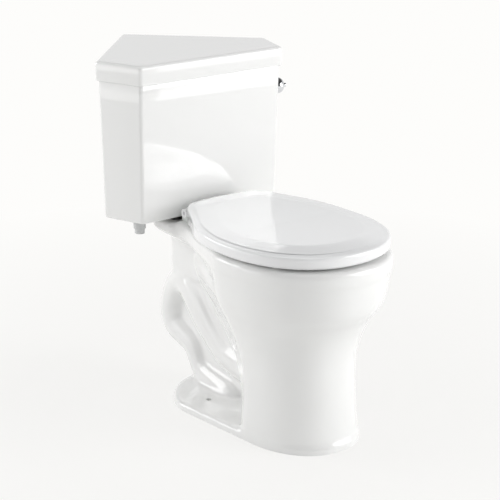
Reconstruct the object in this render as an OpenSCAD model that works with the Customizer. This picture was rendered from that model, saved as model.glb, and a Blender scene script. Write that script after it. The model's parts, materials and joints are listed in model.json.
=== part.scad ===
// Corner toilet: two-piece vitreous china bowl and triangular tank, with seat, flush valve,
// fill valve and side trip lever. Millimetres, +Z up, front is -Y, origin on the floor at the
// centre of the waste outlet.

/* [Bowl] */
// Height of the rim and the seat deck above the floor
rim_z = 417; // [380:1:440]
// Half of the width over the rim
rim_half_w = 184; // [170:1:200]
// Distance from the outlet centre to the front of the rim
rim_front = 418; // [380:1:440]
// Distance from the outlet centre to the widest point of the rim
rim_mid = 183; // [160:1:200]
// Height of the plain band below the rim
band_h = 31.5; // [18:0.5:45]
// How far the band stands out from the bowl below it
band_step = 3.5; // [1:0.5:6]
// Half of the width of the pedestal where it is narrowest
waist_half_w = 119; // [100:1:130]
// Height of that narrowest place
waist_z = 150; // [120:1:200]
// Distance from the outlet centre to the front of the waist
waist_front = 344; // [315:1:360]
// Half of the width of the seat deck where the hinges stand
deck_half_w = 102; // [96:1:115]
// Wall thickness of the china
china = 12; // [9:0.5:15]

/* [Tank deck and neck] */
// Height of the deck that carries the tank
shelf_z = 410; // [380:1:415]
// Thickness of that deck at its edge
shelf_t = 18; // [14:1:26]
// Half of the width of the tank deck
shelf_half_w = 118; // [108:1:130]
// Distance from the outlet centre to the side corners of the tank deck
shelf_corner = 146; // [135:1:160]
// Distance from the outlet centre to the rear of the tank deck
shelf_rear = 207; // [200:1:220]
// Half of the width of the neck under the tank deck
neck_half_w = 47; // [42:1:55]
// Distance from the outlet centre to the rear of the neck
neck_rear = 188; // [180:1:200]

/* [Foot] */
// Half of the width of the foot at the pedestal
foot_half_w = 127; // [115:1:140]
// Half of the width of the foot behind the floor bolts
foot_rear_half_w = 139; // [125:1:150]
// Distance from the outlet centre to the front of the foot
foot_front = 359; // [330:1:380]
// Distance from the outlet centre to the rear of the foot
foot_rear = 146; // [120:1:165]
// Thickness of the foot plate
foot_t = 16; // [12:1:24]
// Distance between the two floor bolts
floor_bolt_span = 152.4; // [140:0.1:165]
// Diameter of a floor bolt hole
floor_hole_d = 13; // [9:0.5:16]

/* [Well] */
// Half of the width of the opening inside the rim
well_half_w = 122; // [105:1:130]
// Distance from the outlet centre to the front of the opening
well_front = 360; // [340:1:370]
// Distance from the outlet centre to the rear of the opening
well_rear = 88; // [75:1:110]
// Height of the bottom of the sump
sump_z = 88; // [82:1:96]
// Half of the width of the sump
sump_half_w = 32; // [28:1:40]

/* [Trapway] */
// Outer radius of the trapway where it rises
trap_r = 42; // [41:0.5:46]
// Inner radius of the trapway
trap_bore_r = 27; // [24:0.5:28]
// Inner radius of the trapway's last leg
leg_bore_r = 23; // [21:0.5:24]
// Radius of the waste outlet in the floor face
outlet_r = 30; // [27:0.5:34]
// Length of the straight outlet bore
outlet_len = 26; // [20:1:28]
// Half of the thickness of the web inside the trapway loop
web_half_t = 14; // [10:1:20]
// Half of the thickness of the china between the rising limb and the bowl
limb_half_t = 30; // [24:1:36]

/* [Tank] */
// Height of the underside of the tank
tank_z = 420; // [414:1:440]
// Height of the top of the tank lid
top_z = 770; // [740:1:800]
// Half of the width of the lid's front face
lid_half_w = 193; // [180:1:210]
// Distance from the outlet centre to the lid's front face
lid_front = 78; // [76:1:90]
// How far each side facet of the lid widens it
lid_flare = 39.5; // [30:0.5:50]
// Depth of the side facets of the lid
lid_facet = 113; // [100:1:130]
// Angle between the two rear faces
corner_angle = 88; // [84:0.5:90]
// Height of the lid's side
lid_h = 43; // [36:1:50]
// How far the lid stands out beyond the tank
lid_overhang = 6; // [4:0.5:10]
// Depth of the seat inside the lid's edge that the tank's top enters
lid_seat = 4; // [2:0.5:8]
// How far the tank's front face leans back towards its underside
tank_lean = 7; // [4:0.5:14]
// Wall thickness of the tank
tank_wall = 10; // [8:0.5:12]
// Thickness of the tank floor
tank_floor = 12; // [9:0.5:16]
// Radius of the tank's upright edges
tank_edge_r = 9; // [5:0.5:14]

/* [Seat] */
// Half of the width of the seat cover
seat_half_w = 185; // [175:1:195]
// Distance from the outlet centre to the front of the seat cover
seat_front = 406; // [385:1:425]
// Half of the width of the cover where it meets the hinges
seat_tab_half_w = 118; // [112:1:128]
// Distance from the outlet centre to the rear edge of the cover
seat_rear = 58; // [56:0.5:60]
// Thickness of the seat ring
ring_t = 18; // [14:0.5:22]
// How far the ring's edge lies inside the cover's edge
ring_inset = 6.2; // [5.8:0.1:10]
// Half of the width of the opening in the ring
hole_half_w = 112; // [95:1:120]
// Height of the rubber bumpers under the ring
bumper_h = 5; // [3:0.5:8]
// Height of the cover's side at the front
cover_side_h = 22; // [18:0.5:28]
// How much higher the cover's edge is at the hinges
cover_rise = 13; // [8:0.5:16]
// Wall thickness of the cover
cover_wall = 4.5; // [3.5:0.5:6]

/* [Hinges] */
// Distance between the two seat bolts
hinge_span = 140; // [130:1:160]
// Distance from the outlet centre to the seat bolts
seat_bolt_y = 66; // [64:0.5:68]
// Distance from the outlet centre to the hinge axis
hinge_y = 50; // [48:0.5:52]
// Height of the hinge axis above the deck
hinge_h = 25; // [24:0.5:28]
// Radius of the hinge barrels
barrel_r = 9.5; // [8:0.5:11]
// Radius of the hinge pins
pin_r = 4; // [3:0.25:5]

/* [Flush valve] */
// Distance from the outlet centre to the flush valve
valve_y = 146; // [145:1:150]
// Outer radius of the flush valve's threaded shank
valve_shank_r = 28; // [25:0.5:30]
// Distance from the flush valve to the overflow tube
overflow_gap = 58; // [56:1:64]
// Distance from the top of the lid down to the top of the overflow tube
overflow_drop = 102; // [90:1:140]
// Radius of the overflow tube
overflow_r = 14; // [12:0.5:16]
// Radius of the flapper
flapper_r = 34; // [32:0.5:36]

/* [Fill valve] */
// Distance from the middle of the tank to the fill valve
fill_x = 158; // [150:1:160]
// Distance from the outlet centre to the fill valve
fill_y = 141; // [136:1:150]
// Radius of the supply shank's lower thread
shank_r = 11.1; // [9:0.1:12]
// Length of that lower thread
shank_thread = 11; // [9:0.5:11]
// Height of the lower end of the supply shank
shank_z = 386; // [378:1:392]
// Distance from the top of the lid down to the top of the riser
riser_drop = 130; // [120:1:150]
// Distance from the top of the riser down to the underside of the float at rest
float_drop = 92; // [84:1:110]
// Travel of the float from an empty to a full tank
float_travel = 14; // [10:1:16]

/* [Handle] */
// Distance from the top of the lid down to the handle's spindle
handle_drop = 99; // [90:1:115]
// Distance along the right facet from its front edge to the spindle
handle_back = 44; // [40:1:56]
// Radius of the domed hub
hub_r = 18.5; // [14:0.5:20]
// How far the domed hub stands out
hub_h = 27; // [20:0.5:30]
// Length of the lever behind the hub
lever_len = 60; // [45:1:62]

/* [Fasteners] */
// Distance from the middle to each tank bolt
tank_bolt_x = 76; // [72:1:84]
// Distance from the outlet centre to the tank bolts
tank_bolt_y = 118; // [117:1:124]
// Radius of a tank bolt
tank_bolt_r = 4; // [3.5:0.25:5]
// Radius of a seat bolt
seat_bolt_r = 4.5; // [3.5:0.25:5]

/* [Hidden] */
$fn = 48;
white = [0.95, 0.95, 0.94];
seat_white = [0.93, 0.94, 0.95];
chrome_grey = [0.75, 0.76, 0.78];
brass = [0.78, 0.62, 0.33];
steel = [0.68, 0.69, 0.71];
rubber_black = [0.08, 0.08, 0.09];
plastic_grey = [0.78, 0.79, 0.79];
plastic_white = [0.9, 0.91, 0.9];
plastic_blue = [0.2, 0.38, 0.6];
plastic_red = [0.62, 0.12, 0.12];

gap = 0.3;   // clearance between pieces that move past each other
fit = 0.08;  // radial clearance of a pin in its bore

// ---------- helpers ----------
function clamp01(t) = min(1, max(0, t));
function ease(t) = let(u = clamp01(t)) u * u * (3 - 2 * u);
function spline(a, b, c, d, t) =
    0.5 * (2 * b + (c - a) * t + (2 * a - 5 * b + 4 * c - d) * t * t
        + (3 * b - a - 3 * c + d) * t * t * t);
function at(list, i) = list[max(0, min(len(list) - 1, i))];
// Smooth run through the rows of a list, with steps points between neighbours
function smooth(rows, steps) = [
    for (i = [0 : len(rows) - 2], s = [0 : steps - 1])
        spline(at(rows, i - 1), rows[i], rows[i + 1], at(rows, i + 2), s / steps),
    rows[len(rows) - 1]
];
// Closed skin over rings of equally many points, flat at both ends
module skin(rings) {
    n = len(rings[0]);
    points = [for (ring = rings, p = ring) p];
    sides = [
        for (i = [0 : len(rings) - 2], j = [0 : n - 1])
            let(a = i * n + j, b = i * n + (j + 1) % n)
            each [[a, a + n, b + n], [a, b + n, b]]
    ];
    first = [[for (j = [0 : n - 1]) j]];
    last = [[for (j = [0 : n - 1]) len(rings) * n - 1 - j]];
    polyhedron(points, concat(sides, first, last));
}
function unit(v) = v / norm(v);
// Round rings of radius r about the points of a path that lies in the plane x = 0
function tube_rings(path, r, n) = [
    for (i = [0 : len(path) - 1])
        let(t = unit(at(path, i + 1) - at(path, i - 1)), side = [0, t[2], -t[1]])
        [for (j = [0 : n - 1]) path[i] + r * (cos(360 * j / n) * [1, 0, 0] + sin(360 * j / n) * side)]
];
// Round rod between two points
module rod(a, b, r) {
    d = b - a;
    translate(a) rotate([0, acos(d[2] / norm(d)), atan2(d[1], d[0])]) cylinder(r = r, h = norm(d));
}
module washer(r, bore, h) {
    difference() {
        cylinder(r = r, h = h);
        translate([0, 0, -1]) cylinder(r = bore, h = h + 2);
    }
}
module both_sides() {
    children();
    mirror([1, 0, 0]) children();
}
// Corners of a five-sided outline moved inwards by d
function inset_corners(c, d) = [
    for (i = [0 : len(c) - 1])
        let(
            e1 = unit(c[i] - at_round(c, i - 1)), e2 = unit(at_round(c, i + 1) - c[i]),
            n1 = [-e1[1], e1[0]], n2 = [-e2[1], e2[0]]
        )
        c[i] + d * (n1 + n2) / (1 + n1 * n2)
];
function at_round(c, i) = c[(i + len(c)) % len(c)];

// ---------- bowl ----------
band_z = rim_z - band_h;
ring_n = 36;
fullness = 0.9;  // how square the front of the bowl is; 1 is an ellipse
// Rows of [height, half width, front, widest place, rear half width, rear]
body_rows = [
    [0, foot_half_w - 5, foot_front - 4, 187, foot_half_w - 18, 162],
    [30, waist_half_w + 5, foot_front - 8, 187, waist_half_w - 8, 158],
    [90, waist_half_w + 1, waist_front + 3, 188, waist_half_w - 15, 150],
    [waist_z, waist_half_w, waist_front, 188, 70, 80],
    [195, waist_half_w + 5, waist_front, 186, 42, -10],
    [235, waist_half_w + 16, waist_front + 10, rim_mid, 40, -80],
    [270, waist_half_w + 31, waist_front + 27, rim_mid, 42, -130],
    [310, rim_half_w - 15, rim_front - 19, rim_mid, neck_half_w - 1, -150],
    [350, rim_half_w - 6, rim_front - 8, rim_mid, neck_half_w + 7, -120],
    [band_z - 3, rim_half_w - band_step, rim_front - band_step, rim_mid, deck_half_w - 4, -90],
    [band_z, rim_half_w, rim_front, rim_mid, deck_half_w, -88],
    [rim_z - 8, rim_half_w, rim_front, rim_mid, deck_half_w, -88],
    [rim_z - 2, rim_half_w - 2.5, rim_front - 2.5, rim_mid, deck_half_w - 2.5, -86],
    [rim_z, rim_half_w - 7, rim_front - 7, rim_mid, deck_half_w - 7, -82]
];
// Outline of the bowl at one height, drawn in by d
function body_ring(row, d) =
    let(
        half = ring_n / 2, w = row[1] - d, front = -row[2] + d, mid = -row[3], rear_w = max(4, row[4] - d),
        rear = -row[5] - d,
        side = [
            for (i = [0 : half])
                let(t = i / half)
                t < 0.5
                ? let(a = 180 * t) [w * pow(sin(a), fullness), mid - (mid - front) * pow(cos(a), fullness)]
                : t < 0.9
                ? let(u = (t - 0.5) / 0.4) [w + (rear_w - w) * ease(u), mid + (rear - mid) * u]
                : let(u = (t - 0.9) / 0.1) [rear_w * (1 - u), rear]
        ]
    )
    concat(
        [for (p = side) [p[0], p[1], row[0]]],
        [for (i = [half - 1 : -1 : 1]) [-side[i][0], side[i][1], row[0]]]
    );
module body_skin(d, low, high) {
    rows = smooth(body_rows, 2);
    skin([for (row = rows) if (row[0] >= low && row[0] <= high) body_ring(row, d)]);
}
// Rows of [height, half width, front, rear] of the hollow
well_rows = [
    [sump_z, 12, 172, 142],
    [sump_z + 8, sump_half_w - 6, 182, 130],
    [sump_z + 32, sump_half_w, 195, 122],
    [180, sump_half_w + 18, 238, 100],
    [235, 74, 290, 86],
    [290, 99, 332, 78],
    [340, 118, 358, 74],
    [rim_z - 38, well_half_w + 7, well_front + 7, well_rear - 8],
    [rim_z - 26, well_half_w + 1, well_front + 1, well_rear - 1],
    [rim_z + 1, well_half_w, well_front, well_rear]
];
function well_ring(row, d) =
    let(w = row[1] + d, front = row[2] + d, rear = row[3] - d, mid = (front + rear) / 2,
        h = (front - rear) / 2)
    [for (j = [0 : 29]) let(a = 12 * j) [w * cos(a), -mid + h * sin(a),
        row[0] - (row[0] < sump_z + 1 ? d : 0)]];
module well_skin(d, high) {
    skin([for (row = smooth(well_rows, 2)) if (row[0] <= high) well_ring(row, d)]);
}
// Rows of the trapway: [distance from the outlet, height, outer radius, inner radius]
trap_rows = [
    [-160, 108, trap_r + 4, trap_bore_r], [-110, 102, trap_r + 4, trap_bore_r],
    [-56, 98, trap_r + 3, trap_bore_r],
    [4, 110, trap_r + 1, trap_bore_r], [48, 142, trap_r, trap_bore_r], [86, 178, trap_r, trap_bore_r],
    [120, 216, trap_r - 1, trap_bore_r], [152, 241, trap_r - 2, trap_bore_r],
    [185, 237, trap_r - 4, trap_bore_r],
    [212, 205, trap_r - 6, trap_bore_r - 1], [226, 160, trap_r - 6, trap_bore_r - 1],
    [212, 122, trap_r - 6, trap_bore_r - 2], [176, 106, trap_r - 7, trap_bore_r - 3],
    [143, 90, trap_r - 8, leg_bore_r + 1], [126, 62, trap_r - 9, leg_bore_r]
];
hump_rows = [[108, 38, trap_r - 9, 0], [72, 25, trap_r - 6, 0], [30, 17, trap_r - 4, 0],
    [-2, 12, trap_r - 4, 0],
    [-26, 2, trap_r - 10, 0]];
exit_rows = [[106, 42, 0, leg_bore_r - 2], [72, 27, 0, leg_bore_r - 4], [30, 25, 0, leg_bore_r - 5],
    [0, 25, 0, leg_bore_r - 5]];
// Round rings about rows that lie in the plane x = 0; pick is 2 for the outside and 3 for the passage
function trap_rings(rows, pick, more, n) =
    let(line = smooth(rows, 2))
    [
        for (i = [0 : len(line) - 1])
            let(
                a = at(line, i - 1), c = at(line, i + 1), t = unit([0, c[0] - a[0], c[1] - a[1]]),
                side = [0, t[2], -t[1]], r = line[i][pick] + more
            )
            [for (j = [0 : n - 1])
                [0, line[i][0], line[i][1]] + r * (cos(360 * j / n) * [1, 0, 0] + sin(360 * j / n) * side)]
    ];
module trap_outside() {
    skin(trap_rings(concat(trap_rows, hump_rows), 2, 0, 18));
}
module trap_inside(more = 0) {
    skin(trap_rings(concat(trap_rows, exit_rows), 3, more, 14));
}
module trap_web() {
    rotate([90, 0, 90])
        translate([0, 0, -web_half_t])
            linear_extrude(2 * web_half_t)
                polygon(concat([[-170, 8]], [for (p = trap_rows) [p[0], p[1]]], [[126, 8]]));
    rotate([90, 0, 90])
        translate([0, 0, -limb_half_t])
            linear_extrude(2 * limb_half_t)
                polygon(concat([for (p = trap_rows) if (p[1] < 220 && p[0] < 125) [p[0], p[1]]],
                    [[110, 262], [40, 262], [-60, 210], [-150, 140]]));
}
function foot_ring(d, z) =
    let(
        side = [
            for (i = [0 : 30])
                i <= 14
                ? let(a = 90 * i / 14)
                    [(foot_half_w - d) * pow(sin(a), 0.91), -187 - (foot_front - 187 - d) * pow(cos(a), 0.91)]
                : let(a = 90 * (i - 15) / 15)
                    [(foot_rear_half_w - d) * pow(cos(a), 1.08), (foot_rear - 8 - d) * pow(sin(a), 1.08) + 8]
        ]
    )
    concat([for (p = side) [p[0], p[1], z]], [for (i = [29 : -1 : 1]) [-side[i][0], side[i][1], z]]);
module foot_plate() {
    skin([foot_ring(0.6, 0), foot_ring(0, 2), foot_ring(0, foot_t - 3), foot_ring(0.9, foot_t - 1),
        foot_ring(3, foot_t)]);
}
module post(x, y, low, high, r, edge = 2.5) {
    translate([x, y, low]) {
        cylinder(r = r, h = high - low - edge, $fn = 32);
        cylinder(r = r - edge, h = high - low, $fn = 32);
    }
}
module shelf() {
    r = 14;
    hull() {
        both_sides() {
            post(shelf_half_w - r, 96, shelf_z - shelf_t, shelf_z, r);
            post(shelf_half_w - r, shelf_corner - r / 2, shelf_z - shelf_t, shelf_z, r);
            post(40, shelf_rear - r, shelf_z - shelf_t, shelf_z, r);
            post(neck_half_w - r, neck_rear - r, 338, shelf_z, r);
            post(neck_half_w - r, 36, 338, shelf_z, r);
        }
    }
    hull() {
        both_sides() {
            post(neck_half_w - r, neck_rear - r, 245, 345, r);
            post(neck_half_w - r, 36, 245, 345, r);
        }
    }
}
recess_r = 48;  // pocket in the deck for the gasket
recess_t = 14;  // its depth
pocket_z = shelf_z - shelf_t;
seat_pocket_z = rim_z - 26;
inlet_r = 26;
duct_r = 20;
duct_a = [0, valve_y, 352];
duct_b = [0, -well_rear + 30, rim_z - 44];
deck_low = rim_z - 217;           // solid china stands this low behind the well
module bowl_cavity() {
    difference() {
        body_skin(china, 0, rim_z - 24);
        well_skin(china, rim_z);
        trap_inside(china);
        rod(duct_a, duct_b, duct_r + china);
        both_sides() translate([hinge_span / 2, seat_bolt_y, deck_low]) cylinder(r = 30, h = 220, $fn = 24);
        translate([-100, 40, deck_low]) cube([200, 200, 220]);
    }
}
module bowl() color(white) {
    difference() {
        union() {
            body_skin(0, 0, rim_z);
            foot_plate();
            trap_outside();
            trap_web();
            shelf();
        }
        translate([-200, -500, -80]) cube([400, 800, 80]);
        well_skin(0, rim_z + 2);
        trap_inside();
        translate([0, 0, -0.5]) bowl_cavity();
        translate([-150, 91, shelf_z]) cube([300, 200, 40]);
        cylinder(r = outlet_r, h = outlet_len);
        translate([0, 0, outlet_len - 1]) cylinder(r1 = outlet_r, r2 = leg_bore_r - 6, h = 13);
        both_sides() {
            translate([floor_bolt_span / 2, 0, -1]) cylinder(d = floor_hole_d, h = foot_t + 60);
            translate([hinge_span / 2, seat_bolt_y, seat_pocket_z - 1])
                cylinder(r = seat_bolt_r + 1.5, h = 40);
            translate([hinge_span / 2, seat_bolt_y, seat_pocket_z - 42]) cylinder(r = 16, h = 42);
            translate([tank_bolt_x, tank_bolt_y, pocket_z - 1]) cylinder(r = tank_bolt_r + 1.5, h = 30);
            translate([tank_bolt_x, tank_bolt_y, pocket_z - 50]) cylinder(r = 15, h = 50);
        }
        translate([0, valve_y, shelf_z - recess_t]) cylinder(r = recess_r, h = 30);
        translate([0, valve_y, duct_a[2]]) cylinder(r = inlet_r, h = 60);
        translate([0, valve_y, duct_a[2]]) sphere(r = inlet_r);
        rod(duct_a, duct_b, duct_r);
    }
}

// ---------- tank and lid ----------
lid_z = top_z - lid_h;
tank_rim_z = lid_z + lid_seat;
floor_z = tank_z + tank_floor;
function five_sided(w, front, flare, facet) =
    let(side = w + flare, y = front + facet)
    [[-w, front], [w, front], [side, y], [0, y + side / tan(corner_angle / 2)], [-side, y]];
lid_outline = five_sided(lid_half_w, lid_front, lid_flare, lid_facet);
tank_top = inset_corners(lid_outline, lid_overhang);
tank_bottom = inset_corners(tank_top, tank_lean);
// Upright posts in the corners of an outline moved inwards by d
module posts(outline, d, r, low, high) {
    for (c = inset_corners(outline, d + r))
        translate([c[0], c[1], low]) cylinder(r = r, h = high - low, $fn = 32);
}
// Handle frame: x out of the right facet, y along it to the rear
handle_z = top_z - handle_drop;
handle_turn = atan2(lid_flare, lid_facet);
handle_lean = tank_lean * (tank_rim_z - handle_z) / (tank_rim_z - tank_z);
handle_corner = inset_corners(tank_top, handle_lean)[1];
handle_at = handle_corner + handle_back * [sin(handle_turn), cos(handle_turn)];
wall_out = -0.6;                 // spot face outside
wall_in = -tank_wall + 0.6;      // spot face inside
bushing_r = 9;
module at_handle() {
    translate([handle_at[0], handle_at[1], handle_z]) rotate([0, 0, -handle_turn]) children();
}
// Cylinder along the handle frame's x
module spindle(r, low, high) {
    translate([low, 0, 0]) rotate([0, 90, 0]) cylinder(r = r, h = high - low);
}
module tank() color(white) {
    difference() {
        hull() {
            posts(tank_bottom, 4, 5, tank_z, tank_z + 1);
            posts(tank_bottom, 0, tank_edge_r, tank_z + 6, tank_z + 7);
            posts(tank_top, 0, tank_edge_r, tank_rim_z - 1, tank_rim_z);
        }
        hull() {
            posts(tank_bottom, tank_wall + 5, 6, floor_z, floor_z + 1);
            posts(tank_bottom, tank_wall, 6, floor_z + 6, floor_z + 7);
            posts(tank_top, tank_wall, 6, tank_rim_z, tank_rim_z + 1);
        }
        translate([0, valve_y, tank_z - 1]) cylinder(r = valve_shank_r + 2, h = tank_floor + 2);
        translate([-fill_x, fill_y, tank_z - 1]) cylinder(r = shank_upper_r + 1.5, h = tank_floor + 2);
        both_sides()
            translate([tank_bolt_x, tank_bolt_y, tank_z - 1])
                cylinder(r = tank_bolt_r + 1.5, h = tank_floor + 2);
        at_handle() {
            spindle(bushing_r + 0.5, wall_in - 1, wall_out + 1);
            spindle(hub_r + 1, wall_out, 8);
            spindle(17, wall_in - 6, wall_in);
        }
    }
}
module tank_lid() color(white) {
    fit_gap = 1.5;
    difference() {
        hull() {
            posts(lid_outline, 1.2, 8.8, lid_z, top_z - 9);
            posts(lid_outline, 0, 10, lid_z + 2, top_z - 8);
            posts(lid_outline, 2, 8, lid_z + 5, top_z - 3.2);
            posts(lid_outline, 4.2, 5.8, lid_z + 5, top_z - 1.1);
            posts(lid_outline, 7.5, 3, lid_z + 5, top_z);
        }
        hull() posts(tank_top, -fit_gap, tank_edge_r + fit_gap, lid_z - 1, tank_rim_z);
        hull() posts(tank_top, tank_wall, 6, lid_z, top_z - 14);
    }
}

// ---------- between bowl and tank ----------
module tank_gasket() color(rubber_black)
    translate([0, valve_y, shelf_z - recess_t + gap])
        washer(recess_r - 1, valve_shank_r + 8.5, tank_z - shelf_z + recess_t - 2 * gap);
module at_tank_bolts(z) {
    both_sides() translate([tank_bolt_x, tank_bolt_y, z]) children();
}
module wing_nut(bore) {
    washer(bore + 4, bore + fit, 8);
    for (side = [-1, 1])
        translate([side > 0 ? bore + 2 : -bore - 9, -1.5, -4]) cube([7, 3, 12]);
}
nut_z = pocket_z - 11;
module tank_bolts() color(brass)
    at_tank_bolts(0) {
        translate([0, 0, nut_z - 8]) cylinder(r = tank_bolt_r, h = floor_z + 5 - nut_z + 8);
        translate([0, 0, floor_z + 4]) cylinder(r = 9, h = 5);
    }
module tank_bolt_seals() color(rubber_black)
    at_tank_bolts(floor_z) washer(11, tank_bolt_r + gap, 4);
module tank_cushions() color(rubber_black)
    at_tank_bolts(shelf_z + gap) washer(14, tank_bolt_r + gap, tank_z - shelf_z - 2 * gap);
module tank_bolt_washers() color(brass)
    at_tank_bolts(pocket_z - 2.2) washer(10, tank_bolt_r + gap, 2);
module tank_wing_nuts() color(brass)
    at_tank_bolts(nut_z) wing_nut(tank_bolt_r);

valve_flange_r = 40;
socket_h = 40;                   // the overflow tube's socket on the valve body
ear_span = 42;                   // over the ends of the flapper's pivot

// ---------- flush valve ----------
seat_z = floor_z + 26;           // top of the drain seat
drain_r = valve_shank_r - 6;
overflow_top = top_z - overflow_drop;
ear_z = seat_z + 8;
ear_y = overflow_gap - 12;
socket_r = overflow_r + 3;
module flush_valve_seal() color(rubber_black)
    translate([0, valve_y, floor_z]) washer(38, valve_shank_r + gap, 3);
module flush_valve_body() color(plastic_white)
    translate([0, valve_y, 0])
        difference() {
            union() {
                translate([0, 0, shelf_z - 12]) cylinder(r = valve_shank_r, h = floor_z + 4 - shelf_z + 12);
                translate([0, 0, floor_z + 3]) cylinder(r = valve_flange_r, h = 5);
                translate([0, 0, floor_z + 3]) cylinder(r = flapper_r - 2, h = seat_z - floor_z - 3);
                translate([0, overflow_gap, floor_z + 3]) cylinder(r = socket_r, h = socket_h);
                translate([-12, 20, floor_z + 3]) cube([24, overflow_gap - 20, 20]);
                translate([-ear_span / 2, ear_y, ear_z]) rotate([0, 90, 0]) cylinder(r = 3, h = ear_span);
            }
            translate([0, 0, shelf_z - 13]) cylinder(r = drain_r, h = 100);
            translate([0, overflow_gap, floor_z + 9]) cylinder(r = overflow_r - 3, h = socket_h);
            translate([0, overflow_gap, floor_z + 18]) cylinder(r = overflow_r + fit, h = socket_h);
            translate([0, 0, floor_z + 15]) rotate([-90, 0, 0]) cylinder(r = 6, h = overflow_gap);
        }
module flush_valve_locknut() color(plastic_white)
    translate([0, valve_y, tank_z - gap - 14]) washer(valve_shank_r + 7, valve_shank_r + fit, 14);
module overflow_tube() color(plastic_white)
    translate([0, valve_y + overflow_gap, floor_z + 18])
        washer(overflow_r, overflow_r - 2.5, overflow_top - floor_z - 18);
tab_y = 24;                      // chain tab in front of the valve's middle
tab_hole_r = 3;
module flapper() color(plastic_red)
    translate([0, valve_y, 0])
        difference() {
            union() {
                translate([0, 0, seat_z + 2.3]) cylinder(r = flapper_r, h = 4);
                translate([0, 0, seat_z + 2.3]) cylinder(r1 = 20, r2 = 14, h = 12);
                both_sides() {
                    translate([16.2, ear_y, ear_z]) rotate([0, 90, 0]) cylinder(r = 5.5, h = 4);
                    translate([16.2, 10, ear_z - 5.5]) cube([4, ear_y - 10, 6]);
                }
                translate([-1, -tab_y - 6, seat_z + 4]) cube([2, 12, ear_z - seat_z - 4]);
                translate([-1, -tab_y, ear_z]) rotate([0, 90, 0]) cylinder(r = 5, h = 2);
            }
            translate([-30, ear_y, ear_z]) rotate([0, 90, 0]) cylinder(r = 3 + fit, h = 60);
            translate([-3, -tab_y, ear_z]) rotate([0, 90, 0]) cylinder(r = tab_hole_r, h = 6);
            translate([0, overflow_gap, seat_z]) cylinder(r = socket_r + 1, h = 40);
        }
module flapper_seal() color(rubber_black)
    translate([0, valve_y, seat_z + gap]) washer(flapper_r - 1, drain_r - 1, 2);

// ---------- lift chain and trip arm ----------
chain_y = valve_y - tab_y;
wire_r = 1;
// Eye of the trip arm in the handle frame
eye_x = -(handle_at[0] * cos(handle_turn)) + (chain_y - handle_at[1]) * -sin(handle_turn);
eye_y = -(handle_at[0] * sin(handle_turn)) + (chain_y - handle_at[1]) * cos(handle_turn);
eye_hole_r = 2;
clip_low = ear_z + tab_hole_r - wire_r - 0.2;
clip_h = 16;
hook_r = 4.5;
chain_top = handle_z - eye_hole_r + wire_r + 0.2 - 2 * hook_r;
chain_low = clip_low + clip_h;
bead_pitch = (chain_top - chain_low) / 26;
module lift_chain() color(steel) {
    translate([0, chain_y, chain_low])
        rotate_extrude($fn = 14)
            polygon(concat(
                [[0, 0]],
                [for (i = [0 : 25], s = [[0.1, 0.6], [0.3, 2], [0.7, 2], [0.9, 0.6]])
                    [s[1], (i + s[0]) * bead_pitch]],
                [[0, chain_top - chain_low + wire_r]]
            ));
    translate([0, chain_y, chain_top + hook_r])
        rotate([90, 0, -handle_turn]) rotate_extrude($fn = 24) translate([hook_r, 0])
            circle(r = wire_r, $fn = 12);
}
module chain_clip() color(steel)
    translate([0, chain_y, clip_low]) {
        rod([-10, 0, 0], [10, 0, 0], wire_r);
        both_sides() {
            translate([10, 0, 0]) sphere(r = wire_r, $fn = 16);
            rod([10, 0, 0], [1.5, 0, clip_h - 1.5], wire_r);
        }
        translate([0, 0, clip_h - 2.5]) cylinder(r = 2.5, h = 2.5 - 0.01);
    }
arm_x = -28;                     // outer end of the arm's hub
module trip_arm() color(brass)
    at_handle()
        difference() {
            union() {
                spindle(7, arm_x - 12, arm_x);
                rod([arm_x - 6, 0, 0], [arm_x - 20, 0, 0], 3);
                rod([arm_x - 20, 0, 0], [eye_x + 1, eye_y + 5, 0], 2.5);
                translate([arm_x - 20, 0, 0]) sphere(r = 3, $fn = 20);
                translate([eye_x - 1, eye_y, 0]) rotate([0, 90, 0]) cylinder(r = 6, h = 2);
            }
            translate([eye_x - 2, eye_y, 0]) rotate([0, 90, 0]) cylinder(r = eye_hole_r, h = 4);
            spindle(4 + fit, arm_x - 11, arm_x + 1);
            translate([arm_x - 6, 0, 0]) cylinder(r = 2.1, h = 10);
        }
module arm_set_screw() color(steel)
    at_handle() translate([arm_x - 6, 0, 4 + fit]) {
        cylinder(r = 2, h = 4.5);
        translate([0, 0, 3.5]) cylinder(r = 3.4, h = 2);
    }
module flush_handle() color(chrome_grey)
    at_handle() {
        spindle(4, arm_x - 10.5, 6);
        rotate([0, 90, 0])
            rotate_extrude()
                polygon(concat(
                    [[0, 3]],
                    [[hub_r - 1, 3], [hub_r, 4]],
                    [for (a = [0 : 10 : 80]) [5 + (hub_r - 5) * cos(a), 12 + (hub_h - 12) * sin(a)]],
                    [[4.5, hub_h], [4.5, hub_h + 5], [3, hub_h + 6.5], [0, hub_h + 6.5]]
                ));
        hull() {
            translate([7, 8, 0]) rotate([0, 90, 0]) cylinder(r = 8, h = 6);
            translate([7, lever_len, 0]) rotate([0, 90, 0]) cylinder(r = 6, h = 5);
        }
    }
module handle_bushing() color(plastic_white)
    at_handle()
        difference() {
            union() {
                spindle(bushing_r, arm_x + 4, wall_out + 1);
                spindle(15, wall_out, wall_out + 3);
            }
            spindle(4 + gap, arm_x + 3, 4);
        }
module handle_nut() color(plastic_white)
    at_handle()
        difference() {
            translate([wall_in - 8, 0, 0]) rotate([0, 90, 0]) cylinder(r = 16, h = 8, $fn = 6);
            spindle(bushing_r + fit, wall_in - 9, wall_in + 1);
        }

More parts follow.
